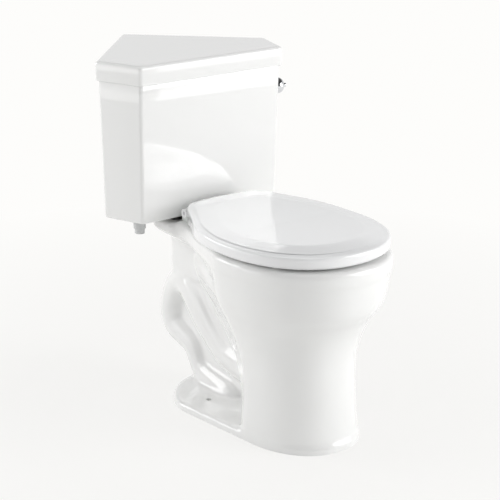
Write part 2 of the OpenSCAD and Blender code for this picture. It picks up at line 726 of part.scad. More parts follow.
// ---------- fill valve ----------
module at_fill(z) {
    translate([-fill_x, fill_y, z]) children();
}
riser_r = 13;
shank_upper_r = shank_r + 0.4;   // the longer thread above, for the locknut
riser_top = top_z - riser_drop;
float_z = riser_top - float_drop;
float_r = 31;
float_h = 60;
rod_x = 26;                      // float rod beside the riser
lever_arm = 40;
cap_h = 28;
cap_top = riser_top + cap_h;
lever_z = cap_top + 7;
module fill_valve_seal() color(rubber_black)
    at_fill(floor_z) washer(20, shank_upper_r + gap, 3);
module fill_valve_shank() color(plastic_grey)
    at_fill(shank_z)
        difference() {
            union() {
                cylinder(r = shank_r, h = shank_thread + 0.1);
                translate([0, 0, shank_thread])
                    cylinder(r = shank_upper_r, h = floor_z + 4 - shank_z - shank_thread);
                translate([0, 0, floor_z + 3 - shank_z]) cylinder(r = 20, h = 5);
            }
            translate([0, 0, -1]) cylinder(r = 6, h = floor_z - shank_z + 20);
        }
module fill_valve_locknut() color(plastic_grey)
    at_fill(tank_z - gap - 22)
        difference() {
            union() {
                cylinder(r = 13.6, h = 20);
                translate([0, 0, 16]) cylinder(r = 19, h = 6);
            }
            translate([0, 0, -1]) cylinder(r = shank_upper_r + fit, h = 30);
        }
module fill_valve_riser() color(plastic_white)
    at_fill(floor_z + 8) washer(riser_r, 8, riser_top - floor_z - 8);
nipple = [-fill_x, fill_y, cap_top - 16];
clip_side = socket_r + 5;        // refill clip's boss beside the overflow tube
refill_run = [fill_x - clip_side, valve_y + overflow_gap - fill_y];
refill_turn = atan2(refill_run[1], refill_run[0]) - 90;
refill_len = norm(refill_run);
module fill_valve_cap() color(plastic_white) {
    difference() {
        union() {
            at_fill(riser_top) cylinder(r = 22, h = cap_h);
            translate(nipple) rotate([0, 0, refill_turn]) rotate([-90, 0, 0]) cylinder(r = 2, h = 31);
            translate(nipple) rotate([0, 0, refill_turn]) rotate([-90, 0, 0]) cylinder(r = 4.5, h = 26);
            for (y = [-7.5, 4.5])
                at_fill(cap_top - 1) translate([rod_x - lever_arm - 5, y, 0]) cube([10, 3, 13]);
        }
        at_fill(riser_top - 1) cylinder(r = 8, h = 14);
        at_fill(lever_z) translate([rod_x - lever_arm, -9, 0]) rotate([-90, 0, 0])
            cylinder(r = 2 + fit, h = 18);
    }
}
module valve_lever() color(plastic_grey)
    at_fill(lever_z)
        difference() {
            union() {
                translate([rod_x - lever_arm, -4.2, 0]) rotate([-90, 0, 0]) cylinder(r = 4, h = 8.4);
                translate([rod_x - lever_arm, -7, 0]) rotate([-90, 0, 0]) cylinder(r = 2, h = 14);
                translate([rod_x - lever_arm, -4, -1.5]) cube([lever_arm + 7, 8, 3]);
            }
            translate([rod_x - 5, -2.6, -3]) cube([20, 5.2, 6]);
        }
module float_cup() color(plastic_grey)
    at_fill(float_z)
        difference() {
            union() {
                cylinder(r = float_r, h = float_h - 4);
                cylinder(r = float_r - 3, h = float_h);
            }
            translate([0, 0, -1]) cylinder(r = riser_r + gap, h = float_h + 2);
            difference() {
                translate([0, 0, -1]) cylinder(r = float_r - 3, h = float_h - 12);
                translate([0, 0, -2]) cylinder(r = riser_r + 3, h = float_h);
            }
            translate([rod_x, 0, float_h - 12]) cylinder(r = 2 + fit, h = 20);
        }
module float_rod() color(brass)
    at_fill(0) {
        translate([rod_x, 0, float_z + float_h - 10])
            cylinder(r = 2, h = lever_z + 9 - float_z - float_h + 10);
        translate([rod_x, 0, float_z + float_h]) cylinder(r = 3.6, h = 2);
    }
module float_adjuster() color(plastic_blue)
    at_fill(lever_z)
        for (z = [-6.2, 3.7])
            translate([rod_x, 0, z]) washer(4.5, 2 + fit, 2.5);
module refill_tube() color(plastic_white)
    translate(nipple) rotate([0, 0, refill_turn]) {
        end = refill_len;
        path = smooth([
            [0, 26.3, 0], [0, 31, 0], [0, 36, 0], [0, 46, 4], [0, 64, 16], [0, 88, 36], [0, 112, 50],
            [0, end - 18, 50],
            [0, end - 4, 40], [0, end, 30], [0, end, 24], [0, end, 18], [0, end, overflow_top - 2 - nipple[2]]
        ], 2);
        difference() {
            skin(tube_rings(path, 3.2, 12));
            skin(tube_rings(concat([path[0] - [0, 3, 0]], path, [path[len(path) - 1] - [0, 0, 3]]), 2.2, 10));
        }
    }
module refill_clip() color(plastic_grey)
    translate([0, valve_y + overflow_gap, overflow_top - 8])
        difference() {
            union() {
                cylinder(r = socket_r, h = 10);
                translate([-clip_side, 0, 0]) cylinder(r = 6, h = 14);
                translate([-clip_side, -3, 0]) cube([clip_side - overflow_r, 6, 10]);
            }
            translate([0, 0, -1]) cylinder(r = overflow_r + fit, h = 9);
            translate([0, 0, 5]) cylinder(r = overflow_r - 3, h = 10);
            translate([-clip_side, 0, -1]) cylinder(r = 2, h = 20);
            translate([-clip_side, 0, 5.8]) cylinder(r = 3.2 + fit, h = 20);
        }

// ---------- seat ----------
ring_z = rim_z + bumper_h;
cover_z = ring_z + 5;
hinge_z = rim_z + hinge_h;
function larger(a, b, k) = let(h = max(k - abs(a - b), 0) / k) max(a, b) + h * h * k / 4;
function oval(t, a, b, n) = pow(pow(abs(cos(t)) / a, n) + pow(abs(sin(t)) / b, n), -1 / n);
seat_power = 2.2;                // how square the seat's outline is; 2 is an ellipse
tab_power = 5.5;                 // the same for the straight part at the hinges
// Seat outline drawn in by d and shrunk to a share f of its size
function seat_ring_points(d, z, f = 1, rear = seat_rear) = [
    for (i = [0 : 59])
        let(
            t = 6 * i, front_half = t > 180,
            r1 = oval(t, seat_half_w - d, front_half ? seat_front - rim_mid - d : 215 - d, seat_power),
            r2 = front_half ? 0 : oval(t, seat_tab_half_w - d, rim_mid + rear - d, tab_power),
            r = f * larger(r1, r2, 60)
        )
        [r * cos(t), -rim_mid + r * sin(t), z]
];
function hole_points(d, z) = [
    for (i = [0 : 39])
        let(t = 9 * i, b = sin(t) > 0 ? 125 : 150)
        [(hole_half_w + d) * cos(t), -205 + (b + d) * sin(t), z]
];
ring_rear = seat_rear - 6;
module hinge_barrel(low, high, r = barrel_r) {
    translate([low, hinge_y, hinge_z]) rotate([0, 90, 0]) cylinder(r = r, h = high - low);
}
base_low = hinge_span / 2 - 14;
base_high = hinge_span / 2 + 17;
ear_end = base_high + 17;        // outer end of the ring's hinge barrels
ear_web = 6;                     // web from the ring up to its hinge barrel
module seat_ring() color(seat_white) {
    top = ring_z + ring_t;
    i = ring_inset;
    difference() {
        union() {
            skin([
                seat_ring_points(i + 3, ring_z, 1, ring_rear), seat_ring_points(i, ring_z + 3, 1, ring_rear),
                seat_ring_points(i, top - 5, 1, ring_rear), seat_ring_points(i + 2, top - 1.4, 1, ring_rear),
                seat_ring_points(i + 6, top, 1, ring_rear)
            ]);
            both_sides() {
                hinge_barrel(base_high + 1, ear_end);
                translate([base_high + 1, hinge_y - 30, ring_z + 8])
                    cube([ear_web, 30, hinge_z - ring_z - 4]);
            }
        }
        skin([hole_points(3, ring_z - 1), hole_points(3, ring_z), hole_points(0, ring_z + 4),
            hole_points(0, top - 8), hole_points(3, top - 2), hole_points(8, top + 0.5)]);
        translate([-base_high - 1, hinge_y - 21, ring_z - 5]) cube([2 * base_high + 2, 60, 60]);
        both_sides() hinge_barrel(base_high, ear_end + 13, pin_r + fit);
    }
}
function cover_edge(y) = cover_z + cover_side_h + cover_rise * ease((y + rim_mid) / 240);
// Row of the cover: outline drawn in by d and shrunk by f, lying h above its upper edge
function cover_row(d, f, h) = [for (p = seat_ring_points(d, 0, f)) [p[0], p[1], cover_edge(p[1]) + h]];
module cover_outside() {
    skin([
        seat_ring_points(1.2, cover_z), seat_ring_points(0, cover_z + 2.5), cover_row(0, 1, -5),
        cover_row(1.6, 1, -1.6), cover_row(5, 1, 0.2), cover_row(18, 1, 3), cover_row(0, 0.8, 6),
        cover_row(0, 0.55, 8), cover_row(0, 0.3, 8.8), seat_ring_points(0, cover_edge(-rim_mid) + 9.5, 0.1)
    ]);
}
module cover_inside() {
    w = cover_wall;
    skin([
        seat_ring_points(w, cover_z - 1), seat_ring_points(w, cover_z + 4), cover_row(w, 1, -5 - w),
        cover_row(w + 5, 1, -w), cover_row(18, 1, 2.5 - w), cover_row(0, 0.8, 5.5 - w),
        cover_row(0, 0.55, 7.5 - w), cover_row(0, 0.3, 8.3 - w),
        seat_ring_points(0, cover_edge(-rim_mid) + 9 - w, 0.1)
    ]);
}
notch_half_w = ear_end + 2;      // opening in the cover's rear side for the hinges
lug_low = base_low - 17;
lug_w = base_low - 1 - lug_low;
pads = [[118, -290], [128, -120]];   // cover bumpers
pad_h = 6;
module seat_cover() color(seat_white) {
    difference() {
        union() {
            difference() {
                cover_outside();
                difference() {
                    union() {
                        cover_inside();
                        translate([-notch_half_w, hinge_y - 12, cover_z - 7])
                            cube([2 * notch_half_w, 32, hinge_h + 9]);
                    }
                    both_sides() {
                        translate([lug_low, hinge_y - barrel_r, hinge_z]) cube([lug_w, 2 * barrel_r, 40]);
                        for (p = pads) translate([p[0], p[1], ring_z + ring_t + pad_h])
                            cylinder(r = 9, h = 30);
                    }
                }
            }
            both_sides() hinge_barrel(lug_low, lug_low + lug_w);
        }
        both_sides() hinge_barrel(lug_low - 1, base_low, pin_r + fit);
    }
}
module cover_bumpers() color(plastic_grey)
    both_sides() for (p = pads) translate([p[0], p[1], ring_z + ring_t]) cylinder(r = 7, h = pad_h);
module ring_bumpers() color(plastic_grey)
    both_sides() for (p = [[150, -160], [132, -300]]) translate([p[0], p[1], rim_z])
        cylinder(r = 9, h = bumper_h);

// ---------- hinges ----------
base_rear = hinge_y + 34;
base_top = rim_z + 10;
cap_axis = [hinge_y + 32.3, base_top + 1.8];
module hinge_base() {
    difference() {
        union() {
            hull() {
                translate([base_low, hinge_y - 12, rim_z]) cube([base_high - base_low, 5, base_top - rim_z]);
                for (x = [base_low + 6, base_high - 6])
                    translate([x, base_rear - 6, rim_z]) cylinder(r = 6, h = base_top - rim_z, $fn = 32);
            }
            translate([base_low, hinge_y - 8, rim_z + 1]) cube([base_high - base_low, 15, hinge_h - 1]);
            hinge_barrel(base_low, base_high);
            for (x = [base_low, base_high - 4])
                translate([x, base_rear - 9, base_top - 1]) cube([4, 8, 5]);
        }
        hinge_barrel(base_low - 1, base_high + 1, pin_r + fit);
        translate([hinge_span / 2, seat_bolt_y, rim_z - 1]) cylinder(r = seat_bolt_r + fit, h = 20);
        translate([hinge_span / 2, seat_bolt_y, rim_z + 2]) cylinder(r = 8.5, h = 20);
        translate([base_low - 1, cap_axis[0], cap_axis[1]]) rotate([0, 90, 0]) cylinder(r = 1.2, h = 40);
    }
}
module hinge_cap() {
    x = base_low + 4.4;
    w = base_high - base_low - 8.8;
    translate([x, seat_bolt_y - 7, base_top + gap]) cube([w, cap_axis[0] - seat_bolt_y + 7, 2.7]);
    translate([x, cap_axis[0], cap_axis[1]]) rotate([0, 90, 0]) cylinder(r = 1.5, h = w);
    translate([x - 3, cap_axis[0], cap_axis[1]]) rotate([0, 90, 0]) cylinder(r = 0.95, h = w + 6);
}
module hinge_base_left() color(plastic_white) mirror([1, 0, 0]) hinge_base();
module hinge_base_right() color(plastic_white) hinge_base();
module hinge_cap_left() color(plastic_white) mirror([1, 0, 0]) hinge_cap();
module hinge_cap_right() color(plastic_white) hinge_cap();
module hinge_pins() color(steel) both_sides() hinge_barrel(lug_low, ear_end, pin_r);
seat_nut_z = seat_pocket_z - 11;
bolt_tail = 14;                  // thread of a seat bolt below its nut
module at_seat_bolts(z) {
    both_sides() translate([hinge_span / 2, seat_bolt_y, z]) children();
}
module seat_bolts() color(plastic_white)
    at_seat_bolts(0) {
        translate([0, 0, seat_nut_z - bolt_tail]) cylinder(r = seat_bolt_r,
            h = rim_z + 4 - seat_nut_z + bolt_tail);
        translate([0, 0, rim_z + 2]) cylinder(r = 8, h = 6);
    }
module seat_bolt_washers() color(plastic_white)
    at_seat_bolts(seat_pocket_z - 2.2) washer(11, seat_bolt_r + gap, 2);
module seat_wing_nuts() color(plastic_white)
    at_seat_bolts(seat_nut_z) wing_nut(seat_bolt_r);

bowl();
tank();
tank_lid();
tank_gasket();
tank_bolts();
tank_bolt_seals();
tank_cushions();
tank_bolt_washers();
tank_wing_nuts();
flush_valve_body();
overflow_tube();
flush_valve_seal();
flush_valve_locknut();
flapper();
flapper_seal();
lift_chain();
chain_clip();
refill_tube();
refill_clip();
fill_valve_shank();
fill_valve_riser();
fill_valve_cap();
valve_lever();
float_cup();
float_rod();
float_adjuster();
fill_valve_seal();
fill_valve_locknut();
flush_handle();
handle_bushing();
handle_nut();
trip_arm();
arm_set_screw();
seat_ring();
seat_cover();
ring_bumpers();
cover_bumpers();
hinge_base_left();
hinge_base_right();
hinge_cap_left();
hinge_cap_right();
hinge_pins();
seat_bolts();
seat_bolt_washers();
seat_wing_nuts();
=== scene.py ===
import json
import math

import bmesh
import bpy
from mathutils import Matrix, Vector


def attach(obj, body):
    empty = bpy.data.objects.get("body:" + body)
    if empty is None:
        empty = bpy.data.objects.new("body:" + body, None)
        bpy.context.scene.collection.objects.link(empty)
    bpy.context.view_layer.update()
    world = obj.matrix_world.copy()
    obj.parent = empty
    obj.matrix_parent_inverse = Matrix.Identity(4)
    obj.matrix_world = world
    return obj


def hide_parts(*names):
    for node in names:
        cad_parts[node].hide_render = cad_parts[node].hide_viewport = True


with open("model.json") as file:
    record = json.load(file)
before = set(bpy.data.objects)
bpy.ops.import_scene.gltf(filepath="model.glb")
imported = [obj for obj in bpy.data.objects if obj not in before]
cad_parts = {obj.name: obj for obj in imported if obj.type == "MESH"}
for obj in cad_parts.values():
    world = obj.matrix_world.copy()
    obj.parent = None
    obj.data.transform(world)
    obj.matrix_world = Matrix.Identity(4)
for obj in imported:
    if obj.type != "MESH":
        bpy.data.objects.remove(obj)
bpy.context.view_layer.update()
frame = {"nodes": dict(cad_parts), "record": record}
NODES = frame["nodes"]
MM = 0.001
scene = bpy.context.scene
scene.view_settings.view_transform = "Standard"

# ---------- measures of the corner toilet, in millimetres ----------
RIM_TOP = 417
RIM_HALF_W = 184
RIM_FRONT = 418
RIM_MID = 183
BAND_H = 31.5
BAND_STEP = 3.5
WAIST_HALF_W = 119
WAIST_Z = 150
WAIST_FRONT = 344
DECK_HALF_W = 102
CHINA = 12
SHELF_TOP = 410
SHELF_T = 18
SHELF_HALF_W = 118
SHELF_CORNER = 146
SHELF_REAR = 207
NECK_HALF_W = 37
NECK_REAR = 201
FOOT_HALF_W = 127
FOOT_REAR_HALF_W = 139
FOOT_FRONT = 359
FOOT_REAR = 146
FOOT_T = 16
FLOOR_BOLT_X = 76.2
FLOOR_HOLE_R = 6.5
SUMP_Z = 88
TRAP_R = 42
TANK_LOW = 420
TOP = 770
LID_HALF_W = 193
LID_FRONT = 78
LID_FLARE = 39.5
LID_FACET = 113
CORNER_ANGLE = math.radians(88)
LID_H = 43
LID_OVERHANG = 6
LID_SEAT = 4
TANK_LEAN = 7
TANK_WALL = 10
TANK_FLOOR = 12
SEAT_HALF_W = 185
SEAT_FRONT = 406
SEAT_TAB_HALF_W = 118
SEAT_REAR = 58
RING_T = 18
RING_INSET = 6.2
HOLE_HALF_W = 112
BUMPER_H = 5
COVER_SIDE_H = 22
COVER_RISE = 13
COVER_WALL = 4.5
SEAT_BOLT_X = 70
SEAT_BOLT_Y = 66
HINGE_Y = 50
HINGE_Z = RIM_TOP + 25
BARREL_R = 9.5
PIN_R = 4
VALVE_Y = 146
TANK_BOLT_X = 76
TANK_BOLT_Y = 118
FILL_X = 158
FILL_Y = 141
HANDLE_Z = 671
HANDLE_BACK = 44
HUB_R = 18.5
HUB_H = 27
LEVER_LEN = 60
PIN_GAP = 0.08
OUTLET_R = 30
OUTLET_H = 26
DRAIN_R = 20
DRAIN_WELL_R = 26
DRAIN_SEAT_R = 48
DRAIN_LOW = 352
SEAT_BOLT_HOLE_R = 6
SEAT_POCKET_R = 16
TANK_BOLT_HOLE_R = 5.5
TANK_POCKET_R = 15
FILL_HOLE_R = 12.6
VALVE_HOLE_R = 30
NECK_LOW = 262
FLARE_LOW = 332
NECK_ROUND = 14
TANK_ROUND = 9
LID_ROUND = 10
LID_EDGE_R = 8.5
LID_GAP = 1.5
HOLE_MID = 205
HOLE_FRONT = 150
HOLE_REAR = 125
VOXEL = 3.65 * MM
SMOOTHINGS = 28
BOTH_SIDES = (-1, 1)


# ---------- mesh helpers ----------
def spline(a, b, c, d, t):
    """Value between b and c on the smooth curve through a, b, c and d."""
    slope = (c - a) * t
    bend = (2 * a - 5 * b + 4 * c - d) * t * t
    return 0.5 * (2 * b + slope + bend + (3 * b - a - 3 * c + d) * t ** 3)


def smooth_rows(rows, steps):
    """A smooth run through rows of numbers, with so many steps between neighbours."""
    last = len(rows) - 1
    run = []
    for i in range(last):
        near = [rows[max(0, i - 1)], rows[i], rows[i + 1], rows[min(last, i + 2)]]
        run += [[spline(*column, s / steps) for column in zip(*near)] for s in range(steps)]
    return run + [list(rows[last])]


def ease(t):
    """Soft step from 0 to 1."""
    t = min(1, max(0, t))
    return t * t * (3 - 2 * t)


def taper(t, bend=0.15):
    """Straight run from 0 to 1 with a short bend at each end."""
    steep = 1 / (1 - bend)
    if t < bend:
        return steep * t * t / (2 * bend)
    if t > 1 - bend:
        return 1 - steep * (1 - t) ** 2 / (2 * bend)
    return steep * (t - bend / 2)


def loft(bm, rings, capped=True):
    """Skin over rings of equally many points, each ring extruded from the one before."""
    row = bmesh.ops.create_circle(bm, segments=len(rings[0]), radius=1, cap_ends=capped)["verts"]
    for vert, place in zip(row, rings[0]):
        vert.co = Vector(place) * MM
    members = set(row)
    edges = [e for e in bm.edges if e.verts[0] in members and e.verts[1] in members]
    for ring in rings[1:]:
        made = bmesh.ops.extrude_edge_only(bm, edges=edges)["geom"]
        fresh = {g for g in made if isinstance(g, bmesh.types.BMVert)}
        row = [next(e.other_vert(v) for e in v.link_edges if e.other_vert(v) in fresh) for v in row]
        for vert, place in zip(row, ring):
            vert.co = Vector(place) * MM
        edges = [g for g in made if isinstance(g, bmesh.types.BMEdge)]
        edges = [e for e in edges if e.verts[0] in fresh and e.verts[1] in fresh]
    if capped:
        bmesh.ops.holes_fill(bm, edges=edges, sides=0)


def closed(bm):
    """The same shape with its faces turned outwards."""
    bmesh.ops.recalc_face_normals(bm, faces=bm.faces)
    return bm


def piece(name, bm, sharp=None):
    """Object from a bmesh, smooth but for edges sharper than the angle in degrees."""
    mesh = bpy.data.meshes.new(name)
    bm.to_mesh(mesh)
    bm.free()
    made = bpy.data.objects.new(name, mesh)
    scene.collection.objects.link(made)
    return shade(made, sharp)


def shade(made, sharp=None):
    """Smooth shading, but for edges sharper than the angle in degrees."""
    made.data.shade_smooth()
    if sharp is not None:
        made.data.set_sharp_from_angle(angle=math.radians(sharp))
    return made


def applied(made):
    """Bakes the modifiers of a piece into its mesh."""
    graph = bpy.context.evaluated_depsgraph_get()
    mesh = bpy.data.meshes.new_from_object(made.evaluated_get(graph))
    old = made.data
    made.modifiers.clear()
    made.data = mesh
    bpy.data.meshes.remove(old)
    return made


def carve(made, tool, how="DIFFERENCE"):
    """Cuts a closed shape out of a piece, or joins it on."""
    step = made.modifiers.new("carve", "BOOLEAN")
    step.operation = how
    step.solver = "MANIFOLD"
    step.object = tool
    applied(made)
    bpy.data.objects.remove(tool)
    return made


def solid(build, *measures, name="tool", **options):
    """Closed piece from one of the builders below."""
    bm = bmesh.new()
    build(bm, *measures, **options)
    return piece(name, closed(bm))


def rod(bm, a, b, r_low, r_high=None, segments=48):
    """Round rod from a to b."""
    a, b = Vector(a), Vector(b)
    run = b - a
    r_high = r_low if r_high is None else r_high
    turn = run.to_track_quat("Z", "Y").to_matrix().to_4x4()
    bmesh.ops.create_cone(
        bm, cap_ends=True, segments=segments, radius1=r_low * MM, radius2=r_high * MM, depth=run.length * MM,
        matrix=Matrix.Translation((a + b) / 2 * MM) @ turn)


def rods(bm, many):
    """Several round rods at once."""
    for measures in many:
        rod(bm, *measures)


def upright(x, y, low, high, *more):
    """Measures of a rod that stands at x and y."""
    return ((x, y, low), (x, y, high), *more)


def block(bm, low, high):
    """Box between two corners."""
    low, high = Vector(low), Vector(high)
    place = Matrix.Translation((low + high) / 2 * MM) @ Matrix.Diagonal((*((high - low) * MM), 1))
    bmesh.ops.create_cube(bm, size=1, matrix=place)


def tube(bm, rows, pick, more, segments):
    """Round tube about rows [y, z, radii...] that lie in the plane x = 0."""
    rings = []
    last = len(rows) - 1
    for i, row in enumerate(rows):
        before, after = rows[max(0, i - 1)], rows[min(last, i + 1)]
        along = Vector((0, after[0] - before[0], after[1] - before[1])).normalized()
        side = Vector((0, along.z, -along.y))
        r = row[pick] + more
        middle = Vector((0, row[0], row[1]))
        turns = [2 * math.pi * j / segments for j in range(segments)]
        rings.append([middle + r * (math.cos(t) * Vector((1, 0, 0)) + math.sin(t) * side) for t in turns])
    loft(bm, rings)


# ---------- bowl ----------
BAND_Z = RIM_TOP - BAND_H
BODY_ROWS = [
    # height, half width, front, widest place, rear half width, rear
    [-12, FOOT_HALF_W - 5, FOOT_FRONT - 4, 187, FOOT_HALF_W - 18, 162],
    [0, FOOT_HALF_W - 5, FOOT_FRONT - 4, 187, FOOT_HALF_W - 18, 162],
    [30, WAIST_HALF_W + 5, FOOT_FRONT - 8, 187, WAIST_HALF_W - 8, 158],
    [90, WAIST_HALF_W + 1, WAIST_FRONT + 3, 188, WAIST_HALF_W - 15, 150],
    [WAIST_Z, WAIST_HALF_W, WAIST_FRONT, 188, 70, 80],
    [195, WAIST_HALF_W + 5, WAIST_FRONT, 186, 42, -10],
    [235, WAIST_HALF_W + 16, WAIST_FRONT + 10, RIM_MID, NECK_HALF_W - 9, -80],
    [270, WAIST_HALF_W + 31, WAIST_FRONT + 27, RIM_MID, NECK_HALF_W - 9, -130],
    [310, RIM_HALF_W - 15, RIM_FRONT - 19, RIM_MID, NECK_HALF_W - 9, -150],
    [350, RIM_HALF_W - 6, RIM_FRONT - 8, RIM_MID, NECK_HALF_W - 4, -120],
    [BAND_Z - 3, RIM_HALF_W - BAND_STEP, RIM_FRONT - BAND_STEP, RIM_MID, DECK_HALF_W - 4, -90],
]
BAND_ROWS = [
    [BAND_Z - 2.5, RIM_HALF_W - 6, RIM_FRONT - 6, RIM_MID, DECK_HALF_W - 6, -92],
    [BAND_Z - 1.6, RIM_HALF_W - 1.6, RIM_FRONT - 1.6, RIM_MID, DECK_HALF_W - 1, -89],
    [BAND_Z, RIM_HALF_W, RIM_FRONT, RIM_MID, DECK_HALF_W, -88],
    [RIM_TOP - 8, RIM_HALF_W, RIM_FRONT, RIM_MID, DECK_HALF_W, -88],
    [RIM_TOP - 4.4, RIM_HALF_W - 0.9, RIM_FRONT - 0.9, RIM_MID, DECK_HALF_W - 0.9, -87.4],
    [RIM_TOP - 1.8, RIM_HALF_W - 3, RIM_FRONT - 3, RIM_MID, DECK_HALF_W - 3, -86],
    [RIM_TOP - 0.4, RIM_HALF_W - 6.2, RIM_FRONT - 6.2, RIM_MID, DECK_HALF_W - 6, -83],
    [RIM_TOP, RIM_HALF_W - 9, RIM_FRONT - 9, RIM_MID, DECK_HALF_W - 9, -80],
]
ROUNDING = 0.90  # how full the front of the bowl is


def body_ring(row, inset, half=80):
    """Outline of the bowl at one height: round in front, drawn in to the neck behind."""
    height, w, front, mid, rear_w, rear = row
    w, front, mid, rear_w, rear = w - inset, inset - front, -mid, max(4, rear_w - inset), -rear - inset
    side = []
    for i in range(half + 1):
        t = i / half
        if t < 0.5:
            a = math.pi * t
            side.append((w * math.sin(a) ** ROUNDING, mid - (mid - front) * math.cos(a) ** ROUNDING))
        elif t < 0.9:
            u = (t - 0.5) / 0.4
            side.append((w + (rear_w - w) * taper(u), mid + (rear - mid) * u))
        else:
            side.append((rear_w * (1 - (t - 0.9) / 0.1), rear))
    return [(x, y, height) for x, y in side] + [(-x, y, height) for x, y in side[-2:0:-1]]


WELL_ROWS = [
    # height, half width, front, rear
    [SUMP_Z, 12, 172, 142],
    [SUMP_Z + 8, 26, 182, 130],
    [SUMP_Z + 32, 32, 195, 122],
    [180, 50, 238, 100],
    [235, 74, 290, 86],
    [290, 99, 332, 78],
    [340, 118, 358, 74],
    [RIM_TOP - 38, 129, 367, 80],
    [RIM_TOP - 26, 123, 361, 87],
    [RIM_TOP - 4, 122, 360, 88],
    [RIM_TOP - 1, 124, 362, 86],
    [RIM_TOP + 1, 127, 365, 83],
]


def well_ring(row, more, around=96):
    """Oval of the basin at one height, wider by more."""
    height, w, front, rear = row[0], row[1] + more, row[2] + more, row[3] - more
    mid, half = (front + rear) / 2, (front - rear) / 2
    turns = [2 * math.pi * j / around for j in range(around)]
    drop = more if height < SUMP_Z + 1 else 0
    return [(w * math.cos(t), -mid + half * math.sin(t), height - drop) for t in turns]


TRAP_ROWS = [
    # distance from the outlet, height, outer radius, passage radius
    [-160, 108, TRAP_R + 4, 27], [-110, 102, TRAP_R + 4, 27], [-56, 98, TRAP_R + 3, 27], [4, 110, TRAP_R + 2, 27],
    [48, 142, TRAP_R + 3, 27], [86, 178, TRAP_R + 5, 27], [120, 214, TRAP_R + 5, 27], [152, 237, TRAP_R + 2, 27],
    [183, 233, TRAP_R - 1, 27], [209, 204, TRAP_R - 3, 26], [223, 160, TRAP_R - 3, 26], [210, 122, TRAP_R - 4, 25],
    [176, 106, TRAP_R - 6, 24], [143, 90, TRAP_R - 8, 24], [126, 62, TRAP_R - 9, 23],
]
HUMP_ROWS = [
    [108, 38, TRAP_R - 9, 0], [72, 25, TRAP_R - 6, 0], [30, 17, TRAP_R - 4, 0], [-2, 12, TRAP_R - 4, 0],
    [-26, 2, TRAP_R - 10, 0],
]
EXIT_ROWS = [[106, 42, 0, 21], [72, 27, 0, 19], [30, 25, 0, 18], [0, 25, 0, 18]]


def web(bm, half_t, outline):
    """Flat plate of china in the plane x = 0."""
    flat = [bm.verts.new(Vector((-half_t, y, z)) * MM) for y, z in outline]
    face = bmesh.ops.contextual_create(bm, geom=flat)["faces"]
    grown = bmesh.ops.extrude_face_region(bm, geom=face)["geom"]
    across = [g for g in grown if isinstance(g, bmesh.types.BMVert)]
    bmesh.ops.translate(bm, verts=across, vec=(2 * half_t * MM, 0, 0))


def foot_ring(inset, height, half=60):
    """Outline of the foot at one height."""
    side = []
    for i in range(half + 1):
        a = math.pi * i / half
        if i <= half // 2:
            side.append(((FOOT_HALF_W - inset) * math.sin(a) ** 0.91,
                         -187 - (FOOT_FRONT - 187 - inset) * math.cos(a) ** 0.91))
        else:
            b = a - math.pi / 2
            side.append(((FOOT_REAR_HALF_W - inset) * max(0, math.cos(b)) ** 1.08,
                         (FOOT_REAR - 8 - inset) * math.sin(b) ** 1.08 + 8))
    return [(x, y, height) for x, y in side] + [(-x, y, height) for x, y in side[-2:0:-1]]


def rounded_outline(corners, inset, radius, height, arc=8):
    """Outline with rounded corners, moved inwards."""
    ring = []
    count = len(corners)
    for i in range(count):
        here = Vector(corners[i])
        into = (here - Vector(corners[i - 1])).normalized()
        out = (Vector(corners[(i + 1) % count]) - here).normalized()
        n_in, n_out = Vector((-into.y, into.x)), Vector((-out.y, out.x))
        middle = here + (inset + radius) * (n_in + n_out) / (1 + n_in.dot(n_out))
        start, end = math.atan2(-n_in.y, -n_in.x), math.atan2(-n_out.y, -n_out.x)
        if end < start:
            end += 2 * math.pi
        for k in range(arc + 1):
            a = start + (end - start) * k / arc
            ring.append((middle.x + radius * math.cos(a), middle.y + radius * math.sin(a), height))
    return ring


SHELF_FRONT = 82
NECK_FRONT = 22
WAY_IN = 120  # extra corners of the neck, so that it has as many as the flare
SHELF = [(-SHELF_HALF_W, SHELF_FRONT), (SHELF_HALF_W, SHELF_FRONT), (SHELF_HALF_W, SHELF_CORNER + 4),
         (54, SHELF_REAR), (-54, SHELF_REAR), (-SHELF_HALF_W, SHELF_CORNER + 4)]
NECK = [(-NECK_HALF_W, NECK_FRONT), (NECK_HALF_W, NECK_FRONT), (NECK_HALF_W, NECK_REAR),
        (-NECK_HALF_W, NECK_REAR)]
SLIM = [(-NECK_HALF_W, NECK_FRONT), (NECK_HALF_W, NECK_FRONT), (NECK_HALF_W, WAY_IN), (NECK_HALF_W, NECK_REAR),
        (-NECK_HALF_W, NECK_REAR), (-NECK_HALF_W, WAY_IN)]
FLARE = [(-SHELF_HALF_W, SHELF_FRONT), (SHELF_HALF_W, SHELF_FRONT), (SHELF_HALF_W, SHELF_CORNER),
         (50, SHELF_REAR - 3), (-50, SHELF_REAR - 3), (-SHELF_HALF_W, SHELF_CORNER)]
# Height, and how far the neck has grown into the flare there
SPREAD = [(FLARE_LOW, 0), (342, 0.1), (352, 0.27), (362, 0.47), (372, 0.68), (382, 0.87), (390, 0.98), (394, 1),
          (406, 1)]
DUCT_LOW = (0, VALVE_Y, DRAIN_LOW)
DUCT_HIGH = (0, -58, RIM_TOP - 44)


